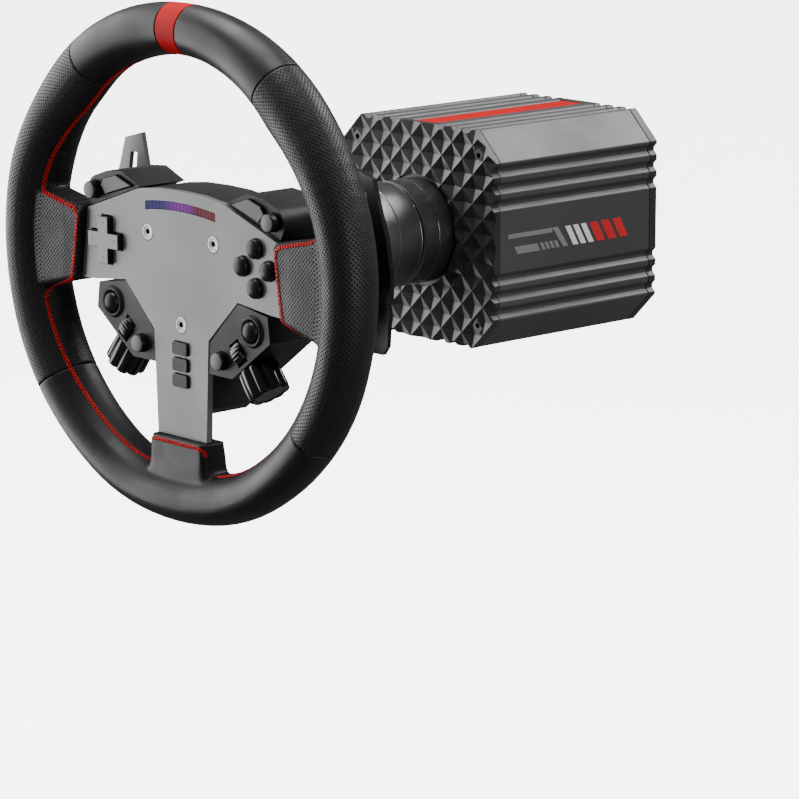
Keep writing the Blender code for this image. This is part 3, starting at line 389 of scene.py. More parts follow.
# Half thickness across the rim and along the shaft, centre radius and tilt, by angle from the top
RIM_SECTIONS = [
    (0, 15.4, 15.0, 141.2, -12), (45, 17.6, 18.0, 142.6, 8), (75, 16.4, 19.4, 145.2, 30),
    (110, 15.8, 19.5, 144.0, 31), (150, 14.4, 19.4, 141.6, 20), (180, 15.0, 20.4, 140.0, 10),
]
RIM_STEPS = 100
RIM_SIDES = 28
SWELL_HEIGHT, SWELL_AT, SWELL_SPREAD = 2.6, 43, 8.0
SEAM_TUCK = 0.15 * MM


def rim_section(angle):
    """The rim's section at an angle from the top, in millimetres and degrees."""
    angle = abs((angle + 180) % 360 - 180)
    for low, high in zip(RIM_SECTIONS, RIM_SECTIONS[1:]):
        if angle <= high[0]:
            part = (angle - low[0]) / (high[0] - low[0])
            part = part * part * (3 - 2 * part)
            return [a + (b - a) * part for a, b in zip(low[1:], high[1:])]
    return RIM_SECTIONS[-1][1:]


def rim_point(angle, around):
    """A point of the rim's surface, with the palm swell at the top of each grip."""
    across, along, radius, tilt = rim_section(angle)
    lean = math.radians(tilt)
    turn = math.radians(angle)
    away = abs((angle + 180) % 360 - 180)
    inside = max(0.0, -math.cos(around)) ** 2
    swell = SWELL_HEIGHT * math.exp(-((away - SWELL_AT) / SWELL_SPREAD) ** 2) * inside
    u = (across + swell) * math.cos(around)
    v = along * math.sin(around)
    reach = radius + u * math.cos(lean) - v * math.sin(lean)
    depth = u * math.sin(lean) + v * math.cos(lean)
    return hub_at + Vector((reach * math.sin(turn), depth, reach * math.cos(turn))) * MM


def leather(name, colour_dark, colour_light, rough_low, rough_high, level):
    """Pebbled leather: soft creases over a fine grain."""
    mat = finish(name, colour_dark, rough_low)
    shine(mat, level)
    cloud_colour(mat, 35.0, colour_dark, colour_light)
    cloud_gloss(mat, 45.0, rough_low, rough_high)
    tree = mat.node_tree
    place = tree.nodes.new("ShaderNodeTexCoord")
    pebble = tree.nodes.new("ShaderNodeTexVoronoi")
    pebble.feature = "SMOOTH_F1"
    pebble.inputs["Scale"].default_value = 1100.0
    bump = tree.nodes.new("ShaderNodeBump")
    bump.inputs["Strength"].default_value = 0.25
    bump.inputs["Distance"].default_value = 0.12 * MM
    bump.invert = True
    tree.links.new(place.outputs["Object"], pebble.inputs["Vector"])
    tree.links.new(pebble.outputs["Distance"], bump.inputs["Height"])
    tree.links.new(bump.outputs["Normal"], tree.nodes["Principled BSDF"].inputs["Normal"])
    return mat


smooth_leather = leather(
    "smooth_black_leather", (0.006, 0.006, 0.006), (0.009, 0.009, 0.009), 0.40, 0.50, 0.34
)
red_leather = leather("red_leather", (0.50, 0.001, 0.005), (0.56, 0.002, 0.007), 0.54, 0.62, 0.1)
grip_leather = leather(
    "perforated_black_leather", (0.010, 0.010, 0.010), (0.014, 0.014, 0.014), 0.42, 0.52, 0.38
)
grip_tree = grip_leather.node_tree
grip_shader = grip_tree.nodes["Principled BSDF"]
grip_uv = grip_tree.nodes.new("ShaderNodeUVMap")
grip_uv.uv_map = "holes"
holes = grip_tree.nodes.new("ShaderNodeTexVoronoi")
holes.voronoi_dimensions = "2D"
holes.inputs["Scale"].default_value = 1.0
holes.inputs["Randomness"].default_value = 0.0
hole_edge = grip_tree.nodes.new("ShaderNodeMapRange")
hole_edge.inputs["From Min"].default_value = 0.20
hole_edge.inputs["From Max"].default_value = 0.32
hole_bump = grip_tree.nodes.new("ShaderNodeBump")
hole_bump.inputs["Strength"].default_value = 1.0
hole_bump.inputs["Distance"].default_value = 0.6 * MM
hole_gloss = grip_tree.nodes.new("ShaderNodeMix")
hole_gloss.inputs["A"].default_value = 0.95
# Painted shade: inside each perforation the base colour goes near black, standing for the shade in
# the hole.
hole_painted_shade = grip_tree.nodes.new("ShaderNodeMix")
hole_painted_shade.data_type = "RGBA"
hole_painted_shade.inputs["A"].default_value = (0.002, 0.002, 0.002, 1.0)
skin_colour = grip_shader.inputs["Base Color"].links[0].from_socket
skin_normal = grip_shader.inputs["Normal"].links[0].from_socket
skin_gloss = grip_shader.inputs["Roughness"].links[0].from_socket
grip_tree.links.new(grip_uv.outputs["UV"], holes.inputs["Vector"])
grip_tree.links.new(holes.outputs["Distance"], hole_edge.inputs["Value"])
grip_tree.links.new(hole_edge.outputs["Result"], hole_bump.inputs["Height"])
grip_tree.links.new(skin_normal, hole_bump.inputs["Normal"])
grip_tree.links.new(hole_bump.outputs["Normal"], grip_shader.inputs["Normal"])
grip_tree.links.new(hole_edge.outputs["Result"], hole_painted_shade.inputs["Factor"])
grip_tree.links.new(skin_colour, hole_painted_shade.inputs["B"])
grip_tree.links.new(hole_edge.outputs["Result"], hole_gloss.inputs["Factor"])
grip_tree.links.new(skin_gloss, hole_gloss.inputs["B"])
grip_tree.links.new(hole_gloss.outputs["Result"], grip_shader.inputs["Roughness"])
grip_tree.links.new(hole_painted_shade.outputs["Result"], grip_shader.inputs["Base Color"])


def rim_length(name, start, stop):
    """A closed length of rim between two steps, its ends tucked in at the seams."""
    bpy.ops.mesh.primitive_torus_add(
        major_segments=RIM_STEPS, minor_segments=RIM_SIDES,
        major_radius=142 * MM, minor_radius=17 * MM,
    )
    piece = bpy.context.object
    piece.name = name
    bpy.ops.object.mode_set(mode="EDIT")
    bpy.ops.mesh.select_mode(type="VERT")
    bpy.ops.mesh.select_all(action="DESELECT")
    bpy.ops.object.mode_set(mode="OBJECT")
    step = 360 / RIM_STEPS
    for index, vertex in enumerate(piece.data.vertices):
        ring, side = divmod(index, RIM_SIDES)
        vertex.co = rim_point(ring * step, math.tau * side / RIM_SIDES)
        vertex.select = not 0 <= (ring - start) % RIM_STEPS <= stop - start
    bpy.ops.object.mode_set(mode="EDIT")
    bpy.ops.mesh.delete(type="VERT")
    bpy.ops.mesh.select_all(action="DESELECT")
    bpy.ops.mesh.select_mode(type="EDGE")
    bpy.ops.mesh.select_non_manifold()
    bpy.ops.mesh.select_mode(type="VERT")
    bpy.ops.object.mode_set(mode="OBJECT")
    for end in (start, stop):
        ends = [v for v in piece.data.vertices if v.select]
        angle = math.radians(end * step)
        across = Vector((math.cos(angle), 0, -math.sin(angle)))
        ring = [v for v in ends if abs((v.co - hub_at).dot(across)) < MM]
        inward = across if end == start else -across
        for vertex in ring:
            vertex.co += inward * SEAM_TUCK
    bpy.ops.object.mode_set(mode="EDIT")
    bpy.ops.mesh.edge_face_add()
    bpy.ops.mesh.select_all(action="SELECT")
    bpy.ops.mesh.normals_make_consistent(inside=False)
    bpy.ops.object.mode_set(mode="OBJECT")
    return piece


def seam_ends(piece):
    """Roll the leather over at its two ends."""
    round_edges(piece, 0.7 * MM, 3, 60)


rim_steps = {
    "leather_top_right": (1, 10), "leather_top_left": (90, 99), "centre_stripe": (99, 101),
    "grip_right": (10, 35), "grip_left": (65, 90), "leather_bottom": (35, 65),
}
for node, name, mat in (
    ("leather_top_right", "smooth_wrap_right", smooth_leather),
    ("leather_top_left", "smooth_wrap_left", smooth_leather),
    ("centre_stripe", "red_band", red_leather),
):
    wrap = rim_length(name, *rim_steps[node])
    seam_ends(wrap)
    stand_for(wrap, node, [mat])

# ---- Grips, lower wrap and spoke cuffs
# Each spoke's cuff is cut from the same leather as the rim length that it joins, so the two
# run into each other with no seam.

CUFFS = (
    ("grip_right", "spoke_cover_right", "grip_wrap_right", "X", 1, grip_leather),
    ("grip_left", "spoke_cover_left", "grip_wrap_left", "X", -1, grip_leather),
    ("leather_bottom", "spoke_cover_bottom", "lower_wrap", "Z", -1, smooth_leather),
)
JOIN_FROM = 116 * MM
JOIN_OVERLAP = 7 * MM
BLEND_REACH, BLEND_BAND = 124 * MM, 9 * MM
BLEND_HALF_WIDTH, BLEND_FROM = 52 * MM, 90 * MM
VOXEL = 0.9 * MM
HOLE_PITCH = 2.8 * MM
FLAT_INSIDE = 17.5 * MM
MAP_RADIUS, MAP_SIDE = 142 * MM, 17 * MM


def map_holes(piece):
    """UV map for the perforations: round the rim on the grip, flat on the cuff."""
    layer = piece.data.uv_layers.new(name="holes")
    for face in piece.data.polygons:
        spot = face.center - hub_at
        reach = math.hypot(spot.x, spot.z)
        angle = math.degrees(math.atan2(spot.x, spot.z))
        radius = rim_section(angle)[2] * MM
        flat = reach < radius - FLAT_INSIDE
        for loop in face.loop_indices:
            at = piece.data.vertices[piece.data.loops[loop].vertex_index].co - hub_at
            if flat:
                s, t = at.x, at.z
            else:
                s = math.atan2(at.x, at.z) * MAP_RADIUS
                out = math.hypot(at.x, at.z) - radius
                t = math.atan2(at.y, out)
                middle = math.atan2(spot.y, reach - radius)
                t += math.tau * round((middle - t) / math.tau)
                t *= MAP_SIDE
            layer.data[loop].uv = ((s + t) / HOLE_PITCH, (s - t) / HOLE_PITCH)


for wrap_node, cuff_node, name, axis, sign, mat in CUFFS:
    wrap = rim_length(name, *rim_steps[wrap_node])
    cuff = merged_copy(cuff_node, "cuff")
    outward = Vector((sign, 0, 0) if axis == "X" else (0, 0, sign))
    for vertex in cuff.data.vertices:
        if (vertex.co - hub_at).dot(outward) > JOIN_FROM:
            vertex.co += outward * JOIN_OVERLAP
    begin(wrap)
    cuff.select_set(True)
    bpy.ops.object.join()
    wrap.data.remesh_voxel_size = VOXEL
    bpy.ops.object.voxel_remesh()
    blend = wrap.vertex_groups.new(name="blend")
    for vertex in wrap.data.vertices:
        at = vertex.co - hub_at
        reach = math.hypot(at.x, at.z)
        along = abs(at.x if axis == "X" else at.z)
        beside = at.z if axis == "X" else at.x
        near = 1 - min(1.0, abs(reach - BLEND_REACH) / BLEND_BAND)
        if abs(beside) < BLEND_HALF_WIDTH and along > BLEND_FROM:
            blend.add([vertex.index], near, "REPLACE")
    for label, rounds, group in (("soften", 8, ""), ("flow", 60, "blend")):
        smooth = wrap.modifiers.new(label, "SMOOTH")
        smooth.factor = 0.5
        smooth.iterations = rounds
        smooth.vertex_group = group
        bpy.ops.object.modifier_apply(modifier=label)
    wrap.vertex_groups.clear()
    bpy.ops.object.shade_smooth()
    if mat is grip_leather:
        map_holes(wrap)
    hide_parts(cuff_node)
    stand_for(wrap, wrap_node, [mat])

foam = finish("moulded_rim_foam", (0.04, 0.04, 0.04), 0.9)
cloud_colour(foam, 120.0, (0.03, 0.03, 0.03), (0.05, 0.05, 0.05))
frame["nodes"]["rim_foam"].data.materials.clear()
frame["nodes"]["rim_foam"].data.materials.append(foam)

# ---- Red stitching
# Waxed red thread sewn in crosses along the inside of the rim, and round the edge of each
# cuff beside the plate.

thread = finish("waxed_red_thread", (0.70, 0.006, 0.008), 0.50)
shine(thread, 0.25)
cloud_colour(thread, 400.0, (0.60, 0.004, 0.006), (0.80, 0.008, 0.010))
grain(thread, 5000.0, 0.5)

LEATHERS = (
    "smooth_wrap_right", "smooth_wrap_left", "grip_wrap_right", "grip_wrap_left", "lower_wrap"
)
leather_trees = [
    BVHTree.FromPolygons(
        [v.co.copy() for v in bpy.data.objects[name].data.vertices],
        [tuple(p.vertices) for p in bpy.data.objects[name].data.polygons],
    )
    for name in LEATHERS
]


def touch(start, direction):
    """The first leather that a line from start meets, as (point, normal)."""
    hits = [tree.ray_cast(start, direction) for tree in leather_trees]
    hits = [hit for hit in hits if hit[0] is not None]
    if not hits:
        return None
    point, normal = min(hits, key=lambda hit: hit[3])[:2]
    return point, normal if normal.dot(direction) < 0 else -normal


bpy.ops.mesh.primitive_uv_sphere_add(segments=6, ring_count=4, radius=0.5)
strand = bpy.context.object
strand_points = [v.co.copy() for v in strand.data.vertices]
strand_faces = [tuple(p.vertices) for p in strand.data.polygons]
bpy.data.objects.remove(strand)


THREAD_LIFT = 0.22
THREAD_FLATNESS = 0.8


def sew(name, spots, band=3.2 * MM, pitch=2.4 * MM, thick=0.95 * MM):
    """Crossed stitches along a run of (point, normal) spots on the leather."""
    verts = []
    faces = []
    travelled = 0.0
    for (here, normal), (after, _) in zip(spots, spots[1:]):
        gap = (after - here).length
        if gap > 4 * pitch or gap < 1e-7:
            continue
        ahead = (after - here).normalized()
        beside = normal.cross(ahead).normalized()
        while travelled < gap:
            middle = here + ahead * travelled + normal * thick * THREAD_LIFT
            for hand in (1, -1):
                run = ahead * pitch + beside * band * hand
                length = run.length
                run.normalize()
                wide = normal.cross(run).normalized()
                first = len(verts)
                for point in strand_points:
                    verts.append(
                        middle + run * point.z * length + wide * point.x * thick
                        + normal * point.y * thick * THREAD_FLATNESS
                    )
                faces += [tuple(first + i for i in face) for face in strand_faces]
            travelled += pitch
        travelled -= gap
    mesh = bpy.data.meshes.new(name)
    mesh.from_pydata(verts, [], faces)
    piece = bpy.data.objects.new(name, mesh)
    bpy.context.scene.collection.objects.link(piece)
    begin(piece)
    bpy.ops.object.mode_set(mode="EDIT")
    bpy.ops.mesh.select_all(action="SELECT")
    bpy.ops.mesh.normals_make_consistent(inside=False)
    bpy.ops.object.mode_set(mode="OBJECT")
    bpy.ops.object.shade_smooth()
    piece.data.materials.append(thread)
    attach(piece, "wheel")
    return piece


RIM_LOOK, FRONT_LOOK, CORNER_LOOK = 40 * MM, 60 * MM, 45 * MM
CORNER_REACH = 12 * MM
CORNER_SPOTS = 30


def inside_run(start, stop):
    """Spots along the inside of the rim, found by looking out from its middle."""
    spots = []
    count = int(abs(stop - start) * 2)
    for i in range(count + 1):
        angle = math.radians(start + (stop - start) * i / count)
        _, _, radius, tilt = rim_section(math.degrees(angle))
        outward = Vector((math.sin(angle), 0, math.cos(angle)))
        lean = math.radians(tilt)
        line = (outward * math.cos(lean) + Vector((0, 1, 0)) * math.sin(lean)).normalized()
        centre = hub_at + outward * radius * MM
        hit = touch(centre - line * RIM_LOOK, line)
        if hit:
            spots.append(hit)
    return spots


def front_run(corners):
    """Spots on the front of a cuff under a line of (x, z) corners in millimetres."""
    spots = []
    for (x0, z0), (x1, z1) in zip(corners, corners[1:]):
        count = max(2, int(math.hypot(x1 - x0, z1 - z0)))
        for i in range(count):
            part = i / count
            at = Vector(((x0 + (x1 - x0) * part) * MM, -FRONT_LOOK, (z0 + (z1 - z0) * part) * MM))
            hit = touch(hub_at + at, Vector((0, 1, 0)))
            if hit:
                spots.append(hit)
    return spots


def corner_run(start, stop, slope):
    """Spots over the rounded edge of a cuff, from start to stop, found along a sloping line."""
    line = Vector((0, 1, slope)).normalized()
    spots = []
    for i in range(1, CORNER_SPOTS):
        at = start.lerp(stop, i / CORNER_SPOTS)
        hit = touch(at - line * CORNER_LOOK, line)
        if hit and (hit[0] - at).length < CORNER_REACH:
            spots.append(hit)
    return spots


for side, end in ((1, "right"), (-1, "left")):
    upper = inside_run(side * 4.5, side * 76)
    lower = inside_run(side * 105, side * 166)
    edge = [(93.4, 24.0), (91.6, 19.5), (94.4, 0), (97.0, -15.4), (98.6, -20.4)]
    cuff_edge = front_run([(side * x, z) for x, z in edge])
    over = corner_run(upper[-1][0], cuff_edge[0][0], -0.9)
    under = corner_run(cuff_edge[-1][0], lower[0][0], 0.9)
    sew(f"stitching_upper_{end}", upper + over, 2.9 * MM)
    sew(f"stitching_cuff_{end}", over[-1:] + cuff_edge + under[:1], 2.7 * MM, 2.2 * MM)
    sew(f"stitching_lower_{end}", under + lower, 2.9 * MM)
foot = [(-31, -122), (-25.6, -112), (-23.8, -107.4), (-20, -106.2), (20, -106.2), (23.8, -107.4),
        (25.6, -112), (31, -122)]
sew("stitching_cuff_bottom", front_run(foot), 2.6 * MM, 2.2 * MM, 0.9 * MM)

# ---- Front plate, its screws and the rev lights
# A 4 mm plate in satin grey with a thin rounded edge.  Three screws in bright cups hold it,
# and the curved bar over the middle lights up from blue to red.

plate_grey = finish("satin_grey_plate", (0.20, 0.20, 0.203), 0.42, 0.10)
cloud_colour(plate_grey, 7.0, (0.19, 0.19, 0.193), (0.21, 0.21, 0.213))
cloud_gloss(plate_grey, 18.0, 0.34, 0.44)
grain(plate_grey, 2600.0, 0.22)
rounded("front_plate", "grey_front_plate", 0.45 * MM, [plate_grey], 3)

screw_black = finish("blackened_screw", (0.010, 0.010, 0.011), 0.35, 0.6)
cloud_gloss(screw_black, 150.0, 0.28, 0.42)
cup = finish("pale_screw_cup", (0.38, 0.38, 0.38), 0.36, 0.4)
cloud_gloss(cup, 120.0, 0.26, 0.40)
SCREW_SOCKET = 1.7 * MM
for number in (1, 2, 3):
    node = f"plate_screw_{number}"
    low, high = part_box(node)
    middle = (low + high) / 2 - hub_at
    screw = turned_piece(f"cup_screw_{number}", [(r * MM, y * MM) for r, y in [
        (0, -3.3), (1.4, -3.3), (1.6, -4.3), (2.0, -4.5), (3.2, -4.5), (3.5, -4.75), (4.9, -4.75),
        (5.2, -4.5), (5.2, -3.4), (2.0, -2.8), (2.0, 3.7), (0, 3.7),
    ]], (middle.x, middle.z), 48)
    stand_for(screw, node, [cup, screw_black])
    for face in screw.data.polygons:
        spot = face.center - hub_at
        from_middle = math.hypot(spot.x - middle.x, spot.z - middle.z)
        face.material_index = 1 if from_middle < SCREW_SOCKET else 0

BAR_HALF_WIDTH = 32 * MM
LAMP_HALF_PITCH = 0.025
light_bar = finish("rev_light_bar", (0.01, 0.01, 0.02), 0.35)
bar_tree = light_bar.node_tree
bar_shader = bar_tree.nodes["Principled BSDF"]
shine(light_bar, 0.06)
bar_shader.inputs["Emission Strength"].default_value = 0.55
bar_place = bar_tree.nodes.new("ShaderNodeTexCoord")
bar_split = bar_tree.nodes.new("ShaderNodeSeparateXYZ")
bar_range = bar_tree.nodes.new("ShaderNodeMapRange")
bar_range.inputs["From Min"].default_value = -BAR_HALF_WIDTH
bar_range.inputs["From Max"].default_value = BAR_HALF_WIDTH
bar_ramp = bar_tree.nodes.new("ShaderNodeValToRGB")
bar_ramp.color_ramp.elements[0].color = (0.02, 0.02, 0.22, 1.0)
bar_ramp.color_ramp.elements[1].color = (0.30, 0.015, 0.02, 1.0)
for stop, colour in (
    (0.26, (0.03, 0.02, 0.30)), (0.34, (0.22, 0.01, 0.42)), (0.52, (0.40, 0.01, 0.60)),
    (0.66, (0.30, 0.01, 0.40)), (0.74, (0.24, 0.01, 0.03)),
):
    bar_ramp.color_ramp.elements.new(stop).color = (*colour, 1.0)
bar_lamps = bar_tree.nodes.new("ShaderNodeMath")
bar_lamps.operation = "PINGPONG"
bar_lamps.inputs[1].default_value = LAMP_HALF_PITCH
bar_gaps = bar_tree.nodes.new("ShaderNodeMapRange")
bar_gaps.inputs["From Min"].default_value = 0.004
bar_gaps.inputs["From Max"].default_value = 0.010
bar_gaps.inputs["To Min"].default_value = 0.35
bar_mask = bar_tree.nodes.new("ShaderNodeMix")
bar_mask.data_type = "RGBA"
bar_mask.inputs["A"].default_value = (0.0, 0.0, 0.0, 1.0)
bar_tree.links.new(bar_place.outputs["Object"], bar_split.inputs["Vector"])
bar_tree.links.new(bar_split.outputs["X"], bar_range.inputs["Value"])
bar_tree.links.new(bar_range.outputs["Result"], bar_ramp.inputs["Fac"])
bar_tree.links.new(bar_range.outputs["Result"], bar_lamps.inputs[0])
bar_tree.links.new(bar_lamps.outputs["Value"], bar_gaps.inputs["Value"])
bar_tree.links.new(bar_gaps.outputs["Result"], bar_mask.inputs["Factor"])
bar_tree.links.new(bar_ramp.outputs["Color"], bar_mask.inputs["B"])
bar_tree.links.new(bar_mask.outputs["Result"], bar_shader.inputs["Emission Color"])
cloud_gloss(light_bar, 70.0, 0.30, 0.40)
rounded("rev_light_lens", "rev_light_bar", 0.15 * MM, [light_bar])

# ---- Rear housing and the four pods
# Moulded shells in satin charcoal plastic, screwed together from behind.

shell = finish("satin_charcoal_plastic", (0.020, 0.020, 0.021), 0.46)
shine(shell, 0.22)
cloud_colour(shell, 16.0, (0.018, 0.018, 0.019), (0.024, 0.024, 0.025))
cloud_gloss(shell, 25.0, 0.40, 0.52)
grain(shell, 2800.0, 0.30)
rounded("rear_housing", "rear_shell", 0.7 * MM, [shell], 3)
POD_CORNER_X, POD_CORNER_Z, POD_CORNER_RADIUS = 90 * MM, 43 * MM, 6.5 * MM
for side, end in ((-1, "left"), (1, "right")):
    rounded(f"lower_pod_{end}", f"lower_shell_{end}", 0.6 * MM, [shell], 3)
    pod_shell = merged_copy(f"upper_pod_{end}", f"upper_shell_{end}")
    corner = Vector((side * POD_CORNER_X, 0, POD_CORNER_Z))
    for edge in pod_shell.data.edges:
        ends = [pod_shell.data.vertices[i].co - hub_at for i in edge.vertices]
        edge.select = all(math.hypot(at.x - corner.x, at.z - corner.z) < 0.5 * MM for at in ends)
    bpy.ops.object.mode_set(mode="EDIT")
    bpy.ops.mesh.select_mode(type="EDGE")
    bpy.ops.mesh.bevel(offset=POD_CORNER_RADIUS, segments=7)
    bpy.ops.object.mode_set(mode="OBJECT")
    round_edges(pod_shell, 0.6 * MM, 3)
    stand_for(pod_shell, f"upper_pod_{end}", [shell])

# ---- Buttons and keys
# Moulded caps with dark skirts: black domes in a diamond, flat grey caps on the pods, and
# three dark keys down the lower spoke.

cap_black = finish("black_button_cap", (0.018, 0.018, 0.019), 0.36)
shine(cap_black, 0.18)
cloud_gloss(cap_black, 90.0, 0.31, 0.42)
grain(cap_black, 3200.0, 0.2)
# Black for the button skirts; on the direction cross the same black is painted shade on its sides.
skirt_and_side_shade = finish("black_skirt_and_painted_side_shade", (0.008, 0.008, 0.009), 0.30)
cloud_gloss(skirt_and_side_shade, 90.0, 0.25, 0.38)
cap_grey = finish("grey_button_cap", (0.15, 0.15, 0.153), 0.45)
shine(cap_grey, 0.3)
cloud_colour(cap_grey, 60.0, (0.14, 0.14, 0.143), (0.16, 0.16, 0.163))
grain(cap_grey, 3000.0, 0.25)


def crown(piece, limit=0.75):
    """The first material goes on the faces that look at the driver, the second on the rest."""
    for face in piece.data.polygons:
        face.material_index = 0 if -face.normal.y > limit else 1
    return piece


def centre_of(node):
    """The middle of a node's box, across and up from the wheel's axis."""
    low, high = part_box(node)
    middle = (low + high) / 2 - hub_at
    return middle.x, middle.z


def round_cap(node, name, profile, mats, segments=48):
    """A turned cap that stands for a button, with its skirt in the second material."""
    piece = turned_piece(name, [(r * MM, y * MM) for r, y in profile], centre_of(node), segments)
    stand_for(piece, node, mats)
    return crown(piece)


for place in ("top", "left", "right", "bottom"):
    round_cap(f"button_{place}", f"face_button_{place}", [
        (0, -9.4), (1.8, -9.3), (3.4, -8.95), (4.6, -8.4), (5.0, -8.1), (5.5, -7.7), (5.9, -7.0),
        (6.0, -6.4), (6.0, -1.7), (0, -1.7),
    ], [cap_black, skirt_and_side_shade])
for end in ("left", "right"):
    round_cap(f"dome_button_{end}", f"thumb_dome_{end}", [
        (0, -9.0), (1.6, -8.9), (3.2, -8.5), (4.6, -7.8), (5.6, -6.8), (6.2, -5.6), (6.5, -4.2),
        (6.5, 4.0), (0, 4.0),
    ], [cap_black, skirt_and_side_shade])
    round_cap(f"small_button_{end}", f"pod_button_{end}", [
        (0, -9.2), (4.5, -9.2), (5.0, -9.0), (5.3, -8.6), (5.4, -8.0), (5.4, 4.0), (0, 4.0),
    ], [cap_grey, skirt_and_side_shade])
    round_cap(f"round_button_{end}", f"shoulder_button_{end}", [
        (0, -8.2), (4.5, -8.2), (5.0, -8.0), (5.3, -7.6), (5.4, -7.0), (5.4, 6.0), (0, 6.0),
    ], [cap_grey, skirt_and_side_shade])
    crown(rounded(f"wedge_button_{end}", f"wedge_cap_{end}", 0.5 * MM, [cap_grey, skirt_and_side_shade], 3))
    collar_at = centre_of(f"dome_button_{end}")
    ring = turned_piece(f"dome_ring_{end}", [(r * MM, y * MM) for r, y in [
        (7.1, -4.1), (7.1, -5.4), (7.5, -5.9), (8.3, -6.0), (9.2, -5.5), (10.0, -4.1), (7.1, -4.1),
    ]], collar_at, 64)
    ring.data.materials.append(shell)
    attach(ring, "wheel")
for place in ("upper", "middle", "lower"):
    crown(rounded(f"key_{place}", f"spoke_key_{place}", 0.35 * MM, [cap_black, skirt_and_side_shade], 3))
# Painted shade: the cross's sides take the black material, standing for the shadow on them; only
# its face is plate grey.
crown(rounded("dpad", "direction_cross", 0.5 * MM, [plate_grey, skirt_and_side_shade], 3))
cross_x, cross_z = centre_of("dpad")
DOT_REACH = 10.6 * MM
for number, (aside, above) in enumerate(((0, 1), (1, 0), (0, -1), (-1, 0)), 1):
    at = (cross_x + aside * DOT_REACH, cross_z + above * DOT_REACH)
    dot = turned_piece(f"cross_dot_{number}", [
        (r * MM, y * MM) for r, y in [(0, -8.5), (0.5, -8.48), (0.7, -8.3), (0.7, -8.0), (0, -8.0)]
    ], at, 16)
    dot.data.materials.append(skirt_and_side_shade)
    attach(dot, "dpad")

# ---- Rollers and knobs
# Glossy black mouldings: a ribbed thumb roller in each lower pod, and a fluted knob on the
# pod's lower edge.

gloss_black = finish("gloss_black_moulding", (0.006, 0.006, 0.007), 0.12)
cloud_gloss(gloss_black, 40.0, 0.09, 0.18)
joint_of = {joint["name"]: joint for joint in frame["joints"]}


def fluted(node, name, joint_name, profile, flutes, dip, steps):
    """A turned piece with flutes down its side, laid along its joint's axis."""
    low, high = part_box(node)
    at = Vector(joint_of[joint_name]["pos_m"])
    axis = Vector(joint_of[joint_name]["axis"])
    if axis.dot((low + high) / 2 - at) < 0:
        axis = -axis
    beside = Vector((0, 1, 0))
    upward = beside.cross(axis)
    piece = turned_piece(name, [(r * MM, y * MM) for r, y in profile], (0, 0), flutes * steps)
    widest = max(r for r, y in profile) * MM
    for vertex in piece.data.vertices:
        spot = vertex.co - hub_at
        reach = math.hypot(spot.x, spot.z)
        ridge = abs(math.sin(math.atan2(spot.z, spot.x) * flutes / 2)) ** 0.6
        shrink = 1 - dip * (1 - ridge) if reach > 0.75 * widest else 1.0
        vertex.co = at + axis * spot.y + (beside * spot.x + upward * spot.z) * shrink
    return stand_for(piece, node, [gloss_black])


for end in ("left", "right"):
    fluted(f"roller_{end}", f"thumb_roller_{end}", f"roller_{end}_spin", [
        (0, -4.4), (5.9, -4.4), (6.8, -3.8), (7.2, -2.9), (7.2, 2.9), (6.8, 3.8), (5.9, 4.4),
        (0, 4.4),
    ], 18, 0.07, 6)
    fluted(f"knob_{end}", f"fluted_knob_{end}", f"knob_{end}_spin", [
        (0, -2.4), (2.6, -2.4), (2.6, 0.6), (11.4, 0.6), (12.2, 1.2), (12.6, 2.4), (12.9, 10.0),
        (13.0, 18.0), (12.7, 18.9), (12.0, 19.4), (11.0, 19.6), (9.6, 19.5), (9.2, 19.0), (0, 18.9),
    ], 9, 0.17, 14)

# ---- Shift paddles
# Folded plates hinged behind the housing, brushed and anodised: the left one silver grey, the
# right one glossy black.

paddle_grey = finish("brushed_grey_aluminium", (0.13, 0.13, 0.133), 0.38, 0.6)
cloud_gloss(paddle_grey, 30.0, 0.28, 0.40)
grain(paddle_grey, 1800.0, 0.2)
rounded("paddle_left", "shift_paddle_left", 0.5 * MM, [paddle_grey], 3)
paddle_black = finish("black_paddle_paint", (0.008, 0.008, 0.009), 0.26)
shine(paddle_black, 0.3)
cloud_gloss(paddle_black, 30.0, 0.22, 0.32)
rounded("paddle_right", "shift_paddle_right", 0.8 * MM, [paddle_black], 3)

# ---- Floor, lights and camera
# A pale studio: a white floor under an even white surround, a large soft key light on the left,
# softer ones overhead and behind, and a weak fill on the right.

FLOOR_SIZE = 80
FLOOR_HEIGHT = -0.42
SURROUND_LIGHTING, SURROUND_SEEN = 0.16, 5.5

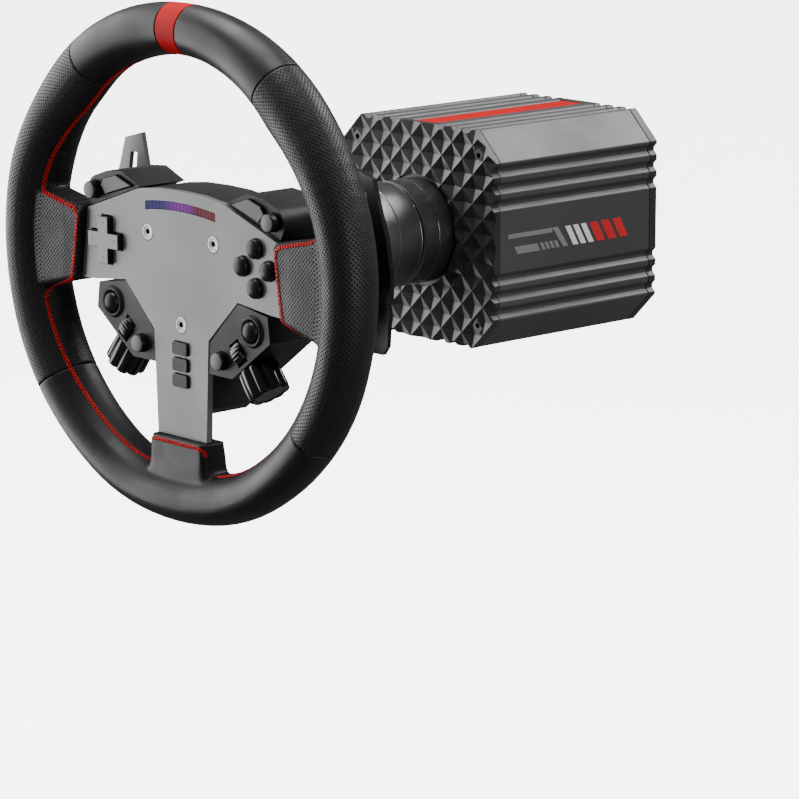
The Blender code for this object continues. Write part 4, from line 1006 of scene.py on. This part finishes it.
floor_white = finish("pale_studio_floor", (0.90, 0.90, 0.90), 0.9)
floor_shader = floor_white.node_tree.nodes["Principled BSDF"]
floor_shader.inputs["Emission Color"].default_value = (1.0, 1.0, 1.0, 1.0)
floor_shader.inputs["Emission Strength"].default_value = 5.0
bpy.ops.mesh.primitive_plane_add(size=FLOOR_SIZE, location=(0, 0, FLOOR_HEIGHT))
floor = bpy.context.object
floor.name = "studio_floor"
floor.data.materials.append(floor_white)
floor.visible_diffuse = False
floor.visible_glossy = False

world = bpy.data.worlds.new("studio")
bpy.context.scene.world = world
world.use_nodes = True
air = world.node_tree
backdrop = air.nodes["Background"]
backdrop.inputs["Color"].default_value = (1.0, 1.0, 1.0, 1.0)
sight = air.nodes.new("ShaderNodeLightPath")
level = air.nodes.new("ShaderNodeMapRange")
level.inputs["To Min"].default_value = SURROUND_LIGHTING
level.inputs["To Max"].default_value = SURROUND_SEEN
air.links.new(sight.outputs["Is Camera Ray"], level.inputs["Value"])
air.links.new(level.outputs["Result"], backdrop.inputs["Strength"])


def soft_light(name, place, target, size, power):
    """A rectangular area light at a place, turned to a target."""
    data = bpy.data.lights.new(name, "AREA")
    data.shape = "RECTANGLE"
    data.size, data.size_y = size
    data.energy = power
    lamp = bpy.data.objects.new(name, data)
    lamp.location = place
    lamp.rotation_mode = "QUATERNION"
    lamp.rotation_quaternion = (Vector(target) - Vector(place)).to_track_quat("-Z", "Y")
    bpy.context.scene.collection.objects.link(lamp)


soft_light("key_light", (-1.7, -0.8, 0.2), (0, -0.1, 0.05), (2.2, 2.0), 78)
soft_light("top_light", (-0.5, -0.2, 1.7), (0, -0.05, 0.07), (1.1, 1.1), 40)
soft_light("back_light", (0.45, 1.3, 1.35), (0, 0, 0.08), (1.3, 1.0), 36)
soft_light("side_fill", (1.7, -0.2, 0.3), (0, 0, 0.07), (1.2, 1.0), 12)

camera_data = bpy.data.cameras.new("camera")
camera_data.lens = 177.7
camera_data.sensor_width = 36
camera_data.clip_start = 0.1
camera_data.clip_end = 50
camera = bpy.data.objects.new("camera", camera_data)
camera.location = hub_at + Vector((1776.6, -1470.3, 418.1)) * MM
looking_back = Vector((0.7176, -0.6634, 0.2118))
camera.rotation_mode = "QUATERNION"
camera.rotation_quaternion = (-looking_back).to_track_quat("-Z", "Y")
bpy.context.scene.collection.objects.link(camera)
bpy.context.scene.camera = camera
